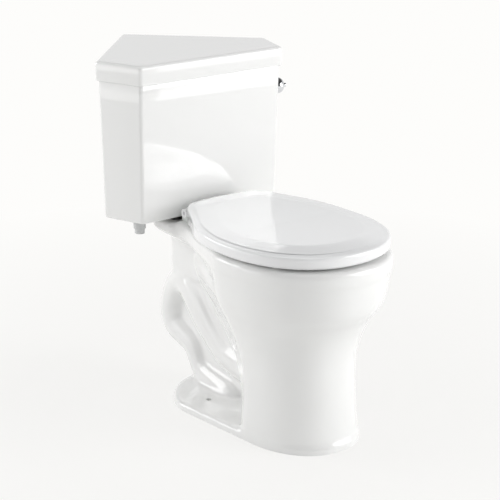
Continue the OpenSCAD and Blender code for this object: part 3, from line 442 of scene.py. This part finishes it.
def bowl_outside():
    """Pedestal, trapway, webs, foot and neck grown together under one glaze."""
    bm = bmesh.new()
    loft(bm, [body_ring(row, 0) for row in smooth_rows(BODY_ROWS, 5)])
    core = [RIM_HALF_W - 14, RIM_FRONT - 14, RIM_MID, DECK_HALF_W - 14, -90]
    loft(bm, [body_ring([RIM_TOP - drop, *core], 0) for drop in (40, 8)])
    tube(bm, smooth_rows(TRAP_ROWS + HUMP_ROWS, 5), 2, 0, 56)
    web(bm, 14, [(-170, -12)] + [(row[0], row[1]) for row in TRAP_ROWS] + [(126, -12)])
    limb = [(row[0], row[1]) for row in TRAP_ROWS if row[1] < 220 and row[0] < 125]
    web(bm, 30, limb + [(110, NECK_LOW), (40, NECK_LOW), (-60, 210), (-150, 140)])
    loft(bm, [foot_ring(0, -12), foot_ring(0, FOOT_T - 3), foot_ring(1.2, FOOT_T - 0.8), foot_ring(4, FOOT_T)])
    loft(bm, [rounded_outline(NECK, 0, NECK_ROUND, z) for z in (NECK_LOW, FLARE_LOW + 2)])
    wide = [Vector(place) for place in rounded_outline(FLARE, 2, NECK_ROUND, 0)]
    narrow = [Vector(place) for place in rounded_outline(SLIM, 0, NECK_ROUND, 0)]
    loft(bm, [[n.lerp(w, share) + Vector((0, 0, z)) for n, w in zip(narrow, wide)] for z, share in SPREAD])
    loft(bm, [body_ring(row, 0) for row in BAND_ROWS])
    edge = ((3, SHELF_T), (0.8, SHELF_T - 0.8), (0, SHELF_T - 3), (0, 0))
    loft(bm, [rounded_outline(SHELF, inset, NECK_ROUND - inset, SHELF_TOP - drop) for inset, drop in edge])
    made = piece("bowl_china", closed(bm))
    grow = made.modifiers.new("glaze", "REMESH")
    grow.mode = "VOXEL"
    grow.voxel_size = VOXEL
    settle = made.modifiers.new("settle", "SMOOTH")
    settle.factor = 0.5
    settle.iterations = SMOOTHINGS
    return applied(made)


def hollow_tool():
    """The open underside of the pedestal, between its wall, the sump and the trapway."""
    rows = [row for row in smooth_rows(BODY_ROWS, 3) if -1 <= row[0] <= BAND_Z - 5]
    rings = [body_ring([-3, *rows[0][1:]], CHINA, 36)] + [body_ring(row, CHINA, 36) for row in rows]
    tool = solid(loft, rings)
    carve(tool, solid(loft, [well_ring(row, CHINA, 48) for row in smooth_rows(WELL_ROWS, 2)]))
    carve(tool, solid(tube, smooth_rows(TRAP_ROWS + EXIT_ROWS, 3), 3, CHINA, 28))
    carve(tool, solid(rod, DUCT_LOW, DUCT_HIGH, DRAIN_R + CHINA))
    # The neck over the trapway stays solid
    return carve(tool, solid(block, (-100, 30, 200), (100, 240, 420)))


def bowl():
    made = bowl_outside()
    carve(made, solid(loft, [well_ring(row, 0) for row in smooth_rows(WELL_ROWS, 5)]))
    carve(made, solid(tube, smooth_rows(TRAP_ROWS + EXIT_ROWS, 4), 3, 0, 40))
    through = [(DUCT_LOW, DUCT_HIGH, DRAIN_R), upright(0, 0, -2, OUTLET_H, OUTLET_R)]
    wider = [upright(0, VALVE_Y, 396, 430, DRAIN_SEAT_R, None, 64),
             upright(0, 0, OUTLET_H - 1, OUTLET_H + 12, OUTLET_R, 17)]
    for x in BOTH_SIDES:
        seat_bolt, tank_bolt = (x * SEAT_BOLT_X, SEAT_BOLT_Y), (x * TANK_BOLT_X, TANK_BOLT_Y)
        through += [upright(x * FLOOR_BOLT_X, 0, -2, 76, FLOOR_HOLE_R),
                    upright(*seat_bolt, RIM_TOP - 54, RIM_TOP + 9, SEAT_BOLT_HOLE_R),
                    upright(*tank_bolt, 355, 420, TANK_BOLT_HOLE_R)]
        wider += [upright(*seat_bolt, RIM_TOP - 41, RIM_TOP - 26, SEAT_POCKET_R),
                  upright(*tank_bolt, 374, 392, TANK_POCKET_R)]
    carve(made, solid(rods, through))
    carve(made, solid(rods, wider))
    carve(made, solid(rod, *upright(0, VALVE_Y, DRAIN_LOW, 400, DRAIN_WELL_R)))
    # Everything below the floor
    carve(made, solid(block, (-260, -600, -60), (260, 400, 0)))
    carve(made, hollow_tool())
    return shade(made, 60)


# ---------- tank and lid ----------
def moved_in(corners, inset):
    """The same corners, each side moved inwards."""
    return [place[:2] for place in rounded_outline(corners, inset, 0, 0, arc=1)[::2]]


SIDE_X = LID_HALF_W + LID_FLARE
SIDE_Y = LID_FRONT + LID_FACET
LID_OUTLINE = [(-LID_HALF_W, LID_FRONT), (LID_HALF_W, LID_FRONT), (SIDE_X, SIDE_Y),
               (0, SIDE_Y + SIDE_X / math.tan(CORNER_ANGLE / 2)), (-SIDE_X, SIDE_Y)]
TANK_OUTLINE = moved_in(LID_OUTLINE, LID_OVERHANG)
LID_Z = TOP - LID_H
TANK_RIM = LID_Z + LID_SEAT
HANDLE_TURN = math.atan2(LID_FLARE, LID_FACET)
HANDLE_LEAN = TANK_LEAN * (TANK_RIM - HANDLE_Z) / (TANK_RIM - TANK_LOW)
HANDLE_CORNER = Vector((*moved_in(TANK_OUTLINE, HANDLE_LEAN)[1], HANDLE_Z))
HANDLE_AT = HANDLE_CORNER + HANDLE_BACK * Vector((math.sin(HANDLE_TURN), math.cos(HANDLE_TURN), 0))
# Handle frame: x out of the right facet, y along it to the rear
AT_HANDLE = Matrix.Translation(HANDLE_AT * MM) @ Matrix.Rotation(-HANDLE_TURN, 4, "Z")


def tank_row(height, more=0, radius=TANK_ROUND):
    """Outline of the tank at one height, where its walls lean out towards the rim."""
    lean = TANK_LEAN * (TANK_RIM - height) / (TANK_RIM - TANK_LOW)
    return rounded_outline(TANK_OUTLINE, lean + more, radius, height)


def tank():
    bottom = [(0, 6, 6), (0.5, 3.4, 7), (1.8, 1.5, 8), (4, 0.3, TANK_ROUND), (6.5, 0, TANK_ROUND)]
    rings = [tank_row(TANK_LOW + up, inset, radius) for up, inset, radius in bottom]
    rings += [tank_row(TANK_LOW + (TANK_RIM - TANK_LOW) * k / 6) for k in range(1, 6)]
    rings += [tank_row(TANK_RIM - 2), tank_row(TANK_RIM - 0.5, 0.6, 8.4), tank_row(TANK_RIM, 2, 7)]
    made = solid(loft, rings, name="tank_china")
    ground = TANK_LOW + TANK_FLOOR
    inside = [(ground, 15, 6), (ground + 1, 12, 6), (ground + 3, 10.6, 6), (ground + 6, TANK_WALL, 6),
              (TANK_RIM - 2, TANK_WALL, 6), (TANK_RIM + 2, 8, 8)]
    carve(made, solid(loft, [tank_row(*row) for row in inside]))
    low, high = TANK_LOW - 10, TANK_LOW + 20
    holes = [upright(0, VALVE_Y, low, high, VALVE_HOLE_R, None, 64),
             upright(-FILL_X, FILL_Y, low, high, FILL_HOLE_R)]
    holes += [upright(x * TANK_BOLT_X, TANK_BOLT_Y, low, high, TANK_BOLT_HOLE_R) for x in BOTH_SIDES]
    carve(made, solid(rods, holes))
    # The hole for the handle's bushing, and a flat round it outside and inside
    for start, end, r in ((-11, 1, 9.5), (-0.6, 8, HUB_R + 1), (-16, -9.4, 17)):
        tool = solid(rod, (start, 0, 0), (end, 0, 0), r, segments=64)
        tool.data.transform(AT_HANDLE)
        carve(made, tool)
    return shade(made, 32)


def tank_lid():
    edge = [(LID_Z, 1.6, 8.4), (LID_Z + 0.6, 0.6, 9.4), (LID_Z + 2, 0, LID_ROUND), (TOP - LID_EDGE_R, 0, LID_ROUND)]
    for degrees in range(15, 91, 15):
        turn = math.radians(degrees)
        back = 1 - math.cos(turn)
        edge.append((TOP - LID_EDGE_R + 7.7 * math.sin(turn), LID_EDGE_R * back, LID_ROUND - 6.5 * back))
    edge += [(TOP - 0.4, 14, 3), (TOP - 0.1, 24, 3), (TOP, 40, 3)]
    made = solid(loft, [rounded_outline(LID_OUTLINE, inset, radius, z) for z, inset, radius in edge],
                 name="tank_lid_china")
    seat = [rounded_outline(TANK_OUTLINE, -LID_GAP, TANK_ROUND + LID_GAP, z) for z in (LID_Z - 1, TANK_RIM)]
    carve(made, solid(loft, seat))
    hollow = ((10, 6, LID_Z), (10, 6, TOP - 17), (13, 5, TOP - 14))
    carve(made, solid(loft, [rounded_outline(TANK_OUTLINE, *row) for row in hollow]))
    return shade(made, 32)


# ---------- seat ----------
RING_Z = RIM_TOP + BUMPER_H
COVER_Z = RING_Z + 5
SEAT_POWER = 2.2
LUG_X = 47
LUG_HALF_W = 8
EAR_X = 91
PAD_H = 6
PAD_R = 9
PADS = [(118, -290, 450.5), (128, -120, 452.5)]  # place of each bumper pad, and where it meets the cover


def larger(a, b, k):
    """The larger of two numbers, with a soft change from one to the other."""
    h = max(k - abs(a - b), 0) / k
    return max(a, b) + h * h * k / 4


def oval(t, a, b, power):
    """Radius of a full oval at the angle t."""
    return (abs(math.cos(t) / a) ** power + abs(math.sin(t) / b) ** power) ** (-1 / power)


def seat_outline(inset, share=1, rear=SEAT_REAR, around=144):
    """Outline of the seat: an oval with a broad tab behind, where the hinges are."""
    places = []
    for i in range(around):
        t = 2 * math.pi * i / around
        ahead = i > around // 2
        r1 = oval(t, SEAT_HALF_W - inset, (SEAT_FRONT - RIM_MID if ahead else 215) - inset, SEAT_POWER)
        r2 = 0 if ahead else oval(t, SEAT_TAB_HALF_W - inset, RIM_MID + rear - inset, 5.5)
        r = share * larger(r1, r2, 60)
        places.append((r * math.cos(t), -RIM_MID + r * math.sin(t)))
    return places


def level(places, height):
    return [(x, y, height) for x, y in places]


def cover_edge(y):
    """Height of the cover's rounded edge, which climbs towards the hinges."""
    return COVER_Z + COVER_SIDE_H + COVER_RISE * ease((y + RIM_MID) / 240)


def cover_row(inset, share, up):
    return [(x, y, cover_edge(y) + up) for x, y in seat_outline(inset, share)]


def hole_outline(more, around=144):
    places = []
    for i in range(around):
        t = 2 * math.pi * i / around
        reach = HOLE_REAR if math.sin(t) > 0 else HOLE_FRONT
        places.append(((HOLE_HALF_W + more) * math.cos(t), -HOLE_MID + (reach + more) * math.sin(t)))
    return places


def seat_cover():
    rings = [level(seat_outline(inset), COVER_Z + up) for inset, up in ((1.2, 0), (0.3, 1), (0, 2.5))]
    rings += [cover_row(inset, 1, up) for inset, up in (
        (0, -12), (0, -5), (0.5, -3), (1.7, -1.3), (3.4, -0.3), (5.4, 0.2), (9, 0.9), (13, 1.6), (18, 2.6))]
    # Share of the outline, and height over the edge
    crown = [[0.93, 3.4], [0.86, 5.4], [0.79, 7.4], [0.745, 8.5], [0.71, 8.9], [0.6, 9.3], [0.35, 9.8], [0.1, 10.1],
             [0.02, 10.1]]
    rings += [cover_row(0, share, up) for share, up in smooth_rows(crown, 4)]
    bm = bmesh.new()
    loft(bm, rings[::-1], capped=False)
    top = [e for e in bm.edges if e.is_boundary and e.verts[0].co.z > (COVER_Z + 8) * MM]
    bmesh.ops.holes_fill(bm, edges=top, sides=0)
    made = piece("seat_cover_shell", closed(bm))
    wall = made.modifiers.new("wall", "SOLIDIFY")
    wall.thickness = COVER_WALL * MM
    wall.offset = -1
    wall.use_rim = True
    applied(made)
    carve(made, solid(block, (-106, HINGE_Y - 12, COVER_Z - 7), (106, HINGE_Y + 20, COVER_Z + 27)))
    for x in BOTH_SIDES:
        inner, outer = x * LUG_X - LUG_HALF_W, x * LUG_X + LUG_HALF_W
        lug = solid(block, (inner, HINGE_Y - BARREL_R, HINGE_Z), (outer, HINGE_Y + 6.5, HINGE_Z + 17))
        carve(made, lug, "UNION")
        carve(made, solid(rod, (inner, HINGE_Y, HINGE_Z), (outer, HINGE_Y, HINGE_Z), BARREL_R), "UNION")
        carve(made, solid(rod, (inner - 1, HINGE_Y, HINGE_Z), (outer + 1, HINGE_Y, HINGE_Z), PIN_R + PIN_GAP))
        for pad_x, pad_y, high in PADS:
            pad = solid(rod, *upright(x * pad_x, pad_y, RING_Z + RING_T + PAD_H, high, PAD_R))
            carve(made, pad, "UNION")
    return shade(made, 40)


def seat_ring():
    top = RING_Z + RING_T
    rear = SEAT_REAR - 6
    outside = ((3, RING_Z), (0.9, RING_Z + 0.9), (0, RING_Z + 3), (0, top - 5.5), (0.6, top - 3.3), (2, top - 1.5),
               (4, top - 0.4), (7, top))
    inside = ((14, top), (9, top - 0.5), (5, top - 1.8), (2, top - 4.4), (0.3, top - 8), (0, RING_Z + 4),
              (0.8, RING_Z + 1), (3, RING_Z))
    rows = [level(seat_outline(RING_INSET + inset, 1, rear), z) for inset, z in outside]
    rows += [level(hole_outline(more), z) for more, z in inside]
    bm = bmesh.new()
    loft(bm, rows + rows[:1], capped=False)
    bmesh.ops.remove_doubles(bm, verts=bm.verts, dist=0.01 * MM)
    made = piece("seat_ring_body", closed(bm))
    carve(made, solid(block, (-88, HINGE_Y - 21, RING_Z - 5), (88, HINGE_Y + 39, RING_Z + 55)))
    for x in BOTH_SIDES:
        ear = solid(block, (x * EAR_X - 3, HINGE_Y - 30, RING_Z + 8), (x * EAR_X + 3, HINGE_Y, HINGE_Z + 4))
        carve(made, ear, "UNION")
        carve(made, solid(rod, (x * 88, HINGE_Y, HINGE_Z), (x * 104, HINGE_Y, HINGE_Z), BARREL_R), "UNION")
        carve(made, solid(rod, (x * 86, HINGE_Y, HINGE_Z), (x * 110, HINGE_Y, HINGE_Z), PIN_R + PIN_GAP))
    return shade(made, 38)


# ---------- handle ----------
DOME_START = 12
SPINDLE_R = 4
DISC_TURN = Matrix.Rotation(math.pi / 2, 4, "Y")


def disc(bm, x, y, r_low, r_high, depth):
    """Round disc that lies across the handle's own x axis."""
    bmesh.ops.create_cone(bm, cap_ends=True, segments=48, radius1=r_low * MM, radius2=r_high * MM, depth=depth * MM,
                          matrix=Matrix.Translation((x * MM, y * MM, 0)) @ DISC_TURN)


def lever(bm):
    """Arm of the handle, stretched over a disc at each end."""
    disc(bm, 9.9, 8, 8, 7.4, 5.6)
    disc(bm, 9.5, LEVER_LEN, 6, 5.4, 5)
    hull = bmesh.ops.convex_hull(bm, input=bm.verts)
    spare = {g for g in hull["geom_interior"] + hull["geom_unused"] if isinstance(g, bmesh.types.BMVert)}
    bmesh.ops.delete(bm, geom=list(spare), context="VERTS")
    kept = {g for g in hull["geom"] if isinstance(g, bmesh.types.BMFace)}
    bmesh.ops.delete(bm, geom=[f for f in bm.faces if f not in kept], context="FACES_ONLY")


def dome(bm):
    """Round hub of the handle with its small button, spun from an outline of [radius, x]."""
    outline = [(0, 3), (HUB_R - 1, 3), (HUB_R - 0.3, 3.3), (HUB_R, 4), (HUB_R, DOME_START - 1)]
    for degrees in range(0, 86, 5):
        turn = math.radians(degrees)
        outline.append((5 + (HUB_R - 5) * math.cos(turn), DOME_START + (HUB_H - DOME_START) * math.sin(turn)))
    outline += [(4.5, HUB_H), (4.5, HUB_H + 5), (4.1, HUB_H + 6), (3, HUB_H + 6.5), (0, HUB_H + 6.5)]
    verts = [bm.verts.new((x * MM, 0, r * MM)) for r, x in outline]
    edges = [bm.edges.new(pair) for pair in zip(verts, verts[1:])]
    bmesh.ops.spin(bm, geom=verts + edges, axis=(1, 0, 0), cent=(0, 0, 0), steps=64, angle=2 * math.pi,
                   use_merge=True)
    bmesh.ops.remove_doubles(bm, verts=bm.verts, dist=0.01 * MM)


def flush_handle():
    made = solid(dome, name="flush_handle_dome")
    carve(made, solid(rod, (-38.5, 0, 0), (6, 0, 0), SPINDLE_R), "UNION")
    carve(made, solid(lever), "UNION")
    made.data.transform(AT_HANDLE)
    return shade(made, 35)


# ---------- materials ----------
def material(name):
    made = bpy.data.materials.new(name)
    made.use_nodes = True
    tree = made.node_tree
    return made, tree, tree.nodes["Principled BSDF"]


def drift_group():
    """Slow change of shade and gloss over a surface, with a fine uneven skin."""
    group = bpy.data.node_groups.new("skin_drift", "ShaderNodeTree")
    put = group.interface.new_socket
    for label, kind in (
            ("Vector", "NodeSocketVector"), ("Pale", "NodeSocketColor"), ("Deep", "NodeSocketColor"),
            ("Scale", "NodeSocketFloat"), ("Rough Low", "NodeSocketFloat"), ("Rough High", "NodeSocketFloat"),
            ("Fine Scale", "NodeSocketFloat")):
        put(name=label, in_out="INPUT", socket_type=kind)
    for label, kind in (
            ("Color", "NodeSocketColor"), ("Roughness", "NodeSocketFloat"), ("Height", "NodeSocketFloat")):
        put(name=label, in_out="OUTPUT", socket_type=kind)
    nodes, link = group.nodes, group.links.new
    ins, outs = nodes.new("NodeGroupInput"), nodes.new("NodeGroupOutput")
    slow, fine = nodes.new("ShaderNodeTexNoise"), nodes.new("ShaderNodeTexNoise")
    link(ins.outputs["Vector"], slow.inputs["Vector"])
    link(ins.outputs["Vector"], fine.inputs["Vector"])
    link(ins.outputs["Scale"], slow.inputs["Scale"])
    link(ins.outputs["Fine Scale"], fine.inputs["Scale"])
    slow.inputs["Detail"].default_value = 3
    fine.inputs["Detail"].default_value = 4
    mix = nodes.new("ShaderNodeMix")
    mix.data_type = "RGBA"
    link(slow.outputs["Fac"], mix.inputs["Factor"])
    link(ins.outputs["Pale"], mix.inputs["A"])
    link(ins.outputs["Deep"], mix.inputs["B"])
    link(mix.outputs["Result"], outs.inputs["Color"])
    spread = nodes.new("ShaderNodeMapRange")
    link(fine.outputs["Fac"], spread.inputs["Value"])
    link(ins.outputs["Rough Low"], spread.inputs["To Min"])
    link(ins.outputs["Rough High"], spread.inputs["To Max"])
    link(spread.outputs["Result"], outs.inputs["Roughness"])
    link(fine.outputs["Fac"], outs.inputs["Height"])
    return group


DRIFT = drift_group()


def finish(name, pale, deep, rough, scale, fine, bump, depth, metallic=0, coat=0, **sockets):
    """Material whose shade and gloss drift over the surface."""
    made, tree, shader = material(name)
    where = tree.nodes.new("ShaderNodeTexCoord")
    skin = tree.nodes.new("ShaderNodeGroup")
    skin.node_tree = DRIFT
    tree.links.new(where.outputs["Object"], skin.inputs["Vector"])
    skin.inputs["Pale"].default_value = (*pale, 1)
    skin.inputs["Deep"].default_value = (*deep, 1)
    skin.inputs["Scale"].default_value = scale
    skin.inputs["Fine Scale"].default_value = fine
    skin.inputs["Rough Low"].default_value, skin.inputs["Rough High"].default_value = rough
    relief = tree.nodes.new("ShaderNodeBump")
    relief.inputs["Strength"].default_value = bump
    relief.inputs["Distance"].default_value = depth * MM
    tree.links.new(skin.outputs["Height"], relief.inputs["Height"])
    tree.links.new(skin.outputs["Color"], shader.inputs["Base Color"])
    tree.links.new(skin.outputs["Roughness"], shader.inputs["Roughness"])
    tree.links.new(relief.outputs["Normal"], shader.inputs["Normal"])
    shader.inputs["Metallic"].default_value = metallic
    shader.inputs["Coat Weight"].default_value = coat
    for socket, value in sockets.items():
        shader.inputs[socket.replace("_", " ")].default_value = value
    return made


# Each finish: pale and deep colour, roughness from and to, scale of the drift and of the fine skin, strength of the
# skin's relief and its depth in millimetres
FINISHES = {
    "china": finish(
        "white_glaze", (0.93, 0.93, 0.92), (0.915, 0.917, 0.91), (0.03, 0.09), 5, 14, 0.25, 0.25,
        coat=0.5, Coat_Roughness=0.02),
    "seat_plastic": finish(
        "gloss_seat_plastic", (0.93, 0.935, 0.94), (0.915, 0.92, 0.925), (0.1, 0.16), 7, 180, 0.1, 0.05,
        coat=0.8, Coat_Roughness=0.05),
    "hinge_plastic": finish(
        "hinge_plastic", (0.85, 0.88, 0.86), (0.8, 0.84, 0.81), (0.22, 0.34), 40, 400, 0.1, 0.05),
    "white_plastic": finish(
        "white_valve_plastic", (0.86, 0.86, 0.84), (0.8, 0.8, 0.77), (0.32, 0.5), 30, 500, 0.15, 0.05),
    "grey_plastic": finish(
        "grey_valve_plastic", (0.7, 0.71, 0.71), (0.63, 0.64, 0.64), (0.35, 0.5), 30, 500, 0.15, 0.05),
    "blue_plastic": finish(
        "blue_screw_plastic", (0.1, 0.25, 0.5), (0.07, 0.2, 0.42), (0.35, 0.5), 50, 500, 0.15, 0.05),
    "clear_tube": finish(
        "milky_tube", (0.82, 0.84, 0.84), (0.76, 0.79, 0.79), (0.2, 0.32), 40, 300, 0.1, 0.05),
    "black_rubber": finish(
        "black_gasket_rubber", (0.03, 0.03, 0.03), (0.045, 0.045, 0.043), (0.55, 0.8), 40, 700, 0.4, 0.1),
    "bumper_rubber": finish(
        "pale_bumper_rubber", (0.8, 0.8, 0.79), (0.72, 0.72, 0.7), (0.5, 0.7), 60, 700, 0.3, 0.08),
    "red_rubber": finish(
        "red_flapper_rubber", (0.5, 0.06, 0.05), (0.4, 0.04, 0.035), (0.5, 0.7), 40, 700, 0.3, 0.1),
    "brass": finish(
        "worn_brass", (0.78, 0.6, 0.32), (0.62, 0.45, 0.22), (0.22, 0.42), 60, 500, 0.15, 0.05, metallic=1),
    "steel": finish(
        "stainless_wire", (0.6, 0.6, 0.62), (0.5, 0.5, 0.52), (0.22, 0.38), 60, 500, 0.15, 0.05, metallic=1),
    "chrome": finish(
        "polished_chrome", (0.75, 0.76, 0.78), (0.72, 0.73, 0.75), (0.03, 0.08), 20, 60, 0.03, 0.02, metallic=1),
}

SLOT_OF = {part["node"]: part["material_slot"] for part in frame["record"]["subparts"]}


def dress(made, slot_name):
    made.data.materials.clear()
    made.data.materials.append(FINISHES[slot_name])
    return made


NEW = {
    "bowl": (bowl(), "root"),
    "tank": (tank(), "root"),
    "tank_lid": (tank_lid(), "lid"),
    "seat_cover": (seat_cover(), "cover"),
    "seat_ring": (seat_ring(), "ring"),
    "flush_handle": (flush_handle(), "handle"),
}
for node_name, (made, body) in NEW.items():
    dress(made, SLOT_OF[node_name])
    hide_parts(node_name)
    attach(made, body)
for node_name, node in NODES.items():
    if node_name not in NEW:
        dress(node, SLOT_OF[node_name])


# ---------- setting ----------
def joined(tree, operation, a, b):
    """Output of a sum on two outputs."""
    step = tree.nodes.new("ShaderNodeMath")
    step.operation = operation
    tree.links.new(a, step.inputs[0])
    tree.links.new(b, step.inputs[1])
    return step.outputs[0]


def mapped(tree, value, start, end, kind="LINEAR"):
    """Output that runs from start[1] to end[1] while the value runs from start[0] to end[0]."""
    step = tree.nodes.new("ShaderNodeMapRange")
    step.interpolation_type = kind
    step.inputs["From Min"].default_value, step.inputs["To Min"].default_value = start
    step.inputs["From Max"].default_value, step.inputs["To Max"].default_value = end
    tree.links.new(value, step.inputs["Value"])
    return step.outputs["Result"]


def mixed(tree, share, first, second):
    """Output of a mix of two shaders."""
    step = tree.nodes.new("ShaderNodeMixShader")
    tree.links.new(share, step.inputs["Fac"])
    tree.links.new(first.outputs[0], step.inputs[1])
    tree.links.new(second.outputs[0], step.inputs[2])
    return step.outputs[0]


FLOOR_SHADE = (0.86, 0.86, 0.85, 1)
BACKDROP = (0.985, 0.98, 0.965, 1)
ROOM_STRENGTH = 0.5
CAMERA_WAY = (0.617, 0.787, 0)  # level direction from the camera to the object


def floor():
    """Pale floor that the camera and reflections see as the white background, with the shadow kept."""
    bm = bmesh.new()
    bmesh.ops.create_grid(bm, x_segments=1, y_segments=1, size=14)
    made = piece("studio_floor", bm)
    look, tree, shader = material("pale_floor")
    shader.inputs["Base Color"].default_value = FLOOR_SHADE
    shader.inputs["Roughness"].default_value = 0.9
    shader.inputs["Specular IOR Level"].default_value = 0
    glow = tree.nodes.new("ShaderNodeEmission")
    glow.inputs["Color"].default_value = BACKDROP
    where = tree.nodes.new("ShaderNodeTexCoord")
    away = tree.nodes.new("ShaderNodeVectorMath")
    away.operation = "LENGTH"
    tree.links.new(where.outputs["Object"], away.inputs[0])
    # Fuller glow away from the object, so that its shadow still shows round the foot
    fade = mapped(tree, away.outputs["Value"], (0.5, 0.75), (1.6, 1))
    rays = tree.nodes.new("ShaderNodeLightPath")
    seen = joined(tree, "MAXIMUM", rays.outputs["Is Camera Ray"], rays.outputs["Is Glossy Ray"])
    seen = joined(tree, "MAXIMUM", seen, rays.outputs["Is Transmission Ray"])
    share = joined(tree, "MULTIPLY", seen, fade)
    tree.links.new(mixed(tree, share, shader, glow), tree.nodes["Material Output"].inputs["Surface"])
    made.data.materials.append(look)


def surroundings():
    """Even pale light, and for reflections a bright side behind the object that darkens upwards."""
    world = bpy.data.worlds.new("studio")
    world.use_nodes = True
    scene.world = world
    tree = world.node_tree
    even = tree.nodes["Background"]
    even.inputs["Color"].default_value = (1, 1, 1, 1)
    even.inputs["Strength"].default_value = ROOM_STRENGTH
    walls = tree.nodes.new("ShaderNodeBackground")
    toward = tree.nodes.new("ShaderNodeTexCoord").outputs["Generated"]
    parts = tree.nodes.new("ShaderNodeSeparateXYZ")
    tree.links.new(toward, parts.inputs[0])
    # Bright up to 20 degrees over the horizon and dim from 34 degrees on
    climb = mapped(tree, parts.outputs["Z"], (0.34, 1), (0.56, 0.15), "SMOOTHSTEP")
    behind = tree.nodes.new("ShaderNodeVectorMath")
    behind.operation = "DOT_PRODUCT"
    behind.inputs[1].default_value = CAMERA_WAY
    tree.links.new(toward, behind.inputs[0])
    open_side = mapped(tree, behind.outputs["Value"], (-0.9, 0.1), (0.5, 1))
    tree.links.new(joined(tree, "MULTIPLY", climb, open_side), walls.inputs["Strength"])
    rays = tree.nodes.new("ShaderNodeLightPath")
    seen = mixed(tree, rays.outputs["Is Glossy Ray"], even, walls)
    tree.links.new(seen, tree.nodes["World Output"].inputs["Surface"])


MIDDLE = Vector((0, 0, 0.4))
LAMP_SIDE = 1.8


def lamp(name, place, power):
    """Square lamp that faces the middle of the object."""
    data = bpy.data.lights.new(name, "AREA")
    data.shape = "RECTANGLE"
    data.size, data.size_y = LAMP_SIDE, LAMP_SIDE
    data.energy = power
    made = bpy.data.objects.new(name, data)
    made.location = place
    made.rotation_euler = (MIDDLE - Vector(place)).to_track_quat("-Z", "Y").to_euler()
    scene.collection.objects.link(made)


PHOTO_PX = 500
FOCAL_PX = 1597.793
SENSOR = 36
CAMERA_PLACE = (-2.061064, -2.630270, 1.422703)
CAMERA_DOWN = 0.30924
CAMERA_TURN = -0.65641


def view():
    """Camera at the photo's angle."""
    data = bpy.data.cameras.new("view")
    data.sensor_width = SENSOR
    data.lens = FOCAL_PX / PHOTO_PX * SENSOR
    data.shift_x = 0.0533
    data.shift_y = -0.0034
    data.clip_end = 60
    made = bpy.data.objects.new("view", data)
    made.location = CAMERA_PLACE
    made.rotation_euler = (math.pi / 2 - CAMERA_DOWN, 0, CAMERA_TURN)
    scene.collection.objects.link(made)
    scene.camera = made


floor()
surroundings()
lamp("right_box", (1.779, -2.540, 1.529), 44)
lamp("low_right_box", (2.333, -2.333, 0.4), 20)
lamp("left_box", (-1.993, 2.375, 1.529), 34)
lamp("low_left_box", (-3.054, 1.111, 0.973), 12)
lamp("rear_box", (0.1, 0.5, 3.6), 9)
view()
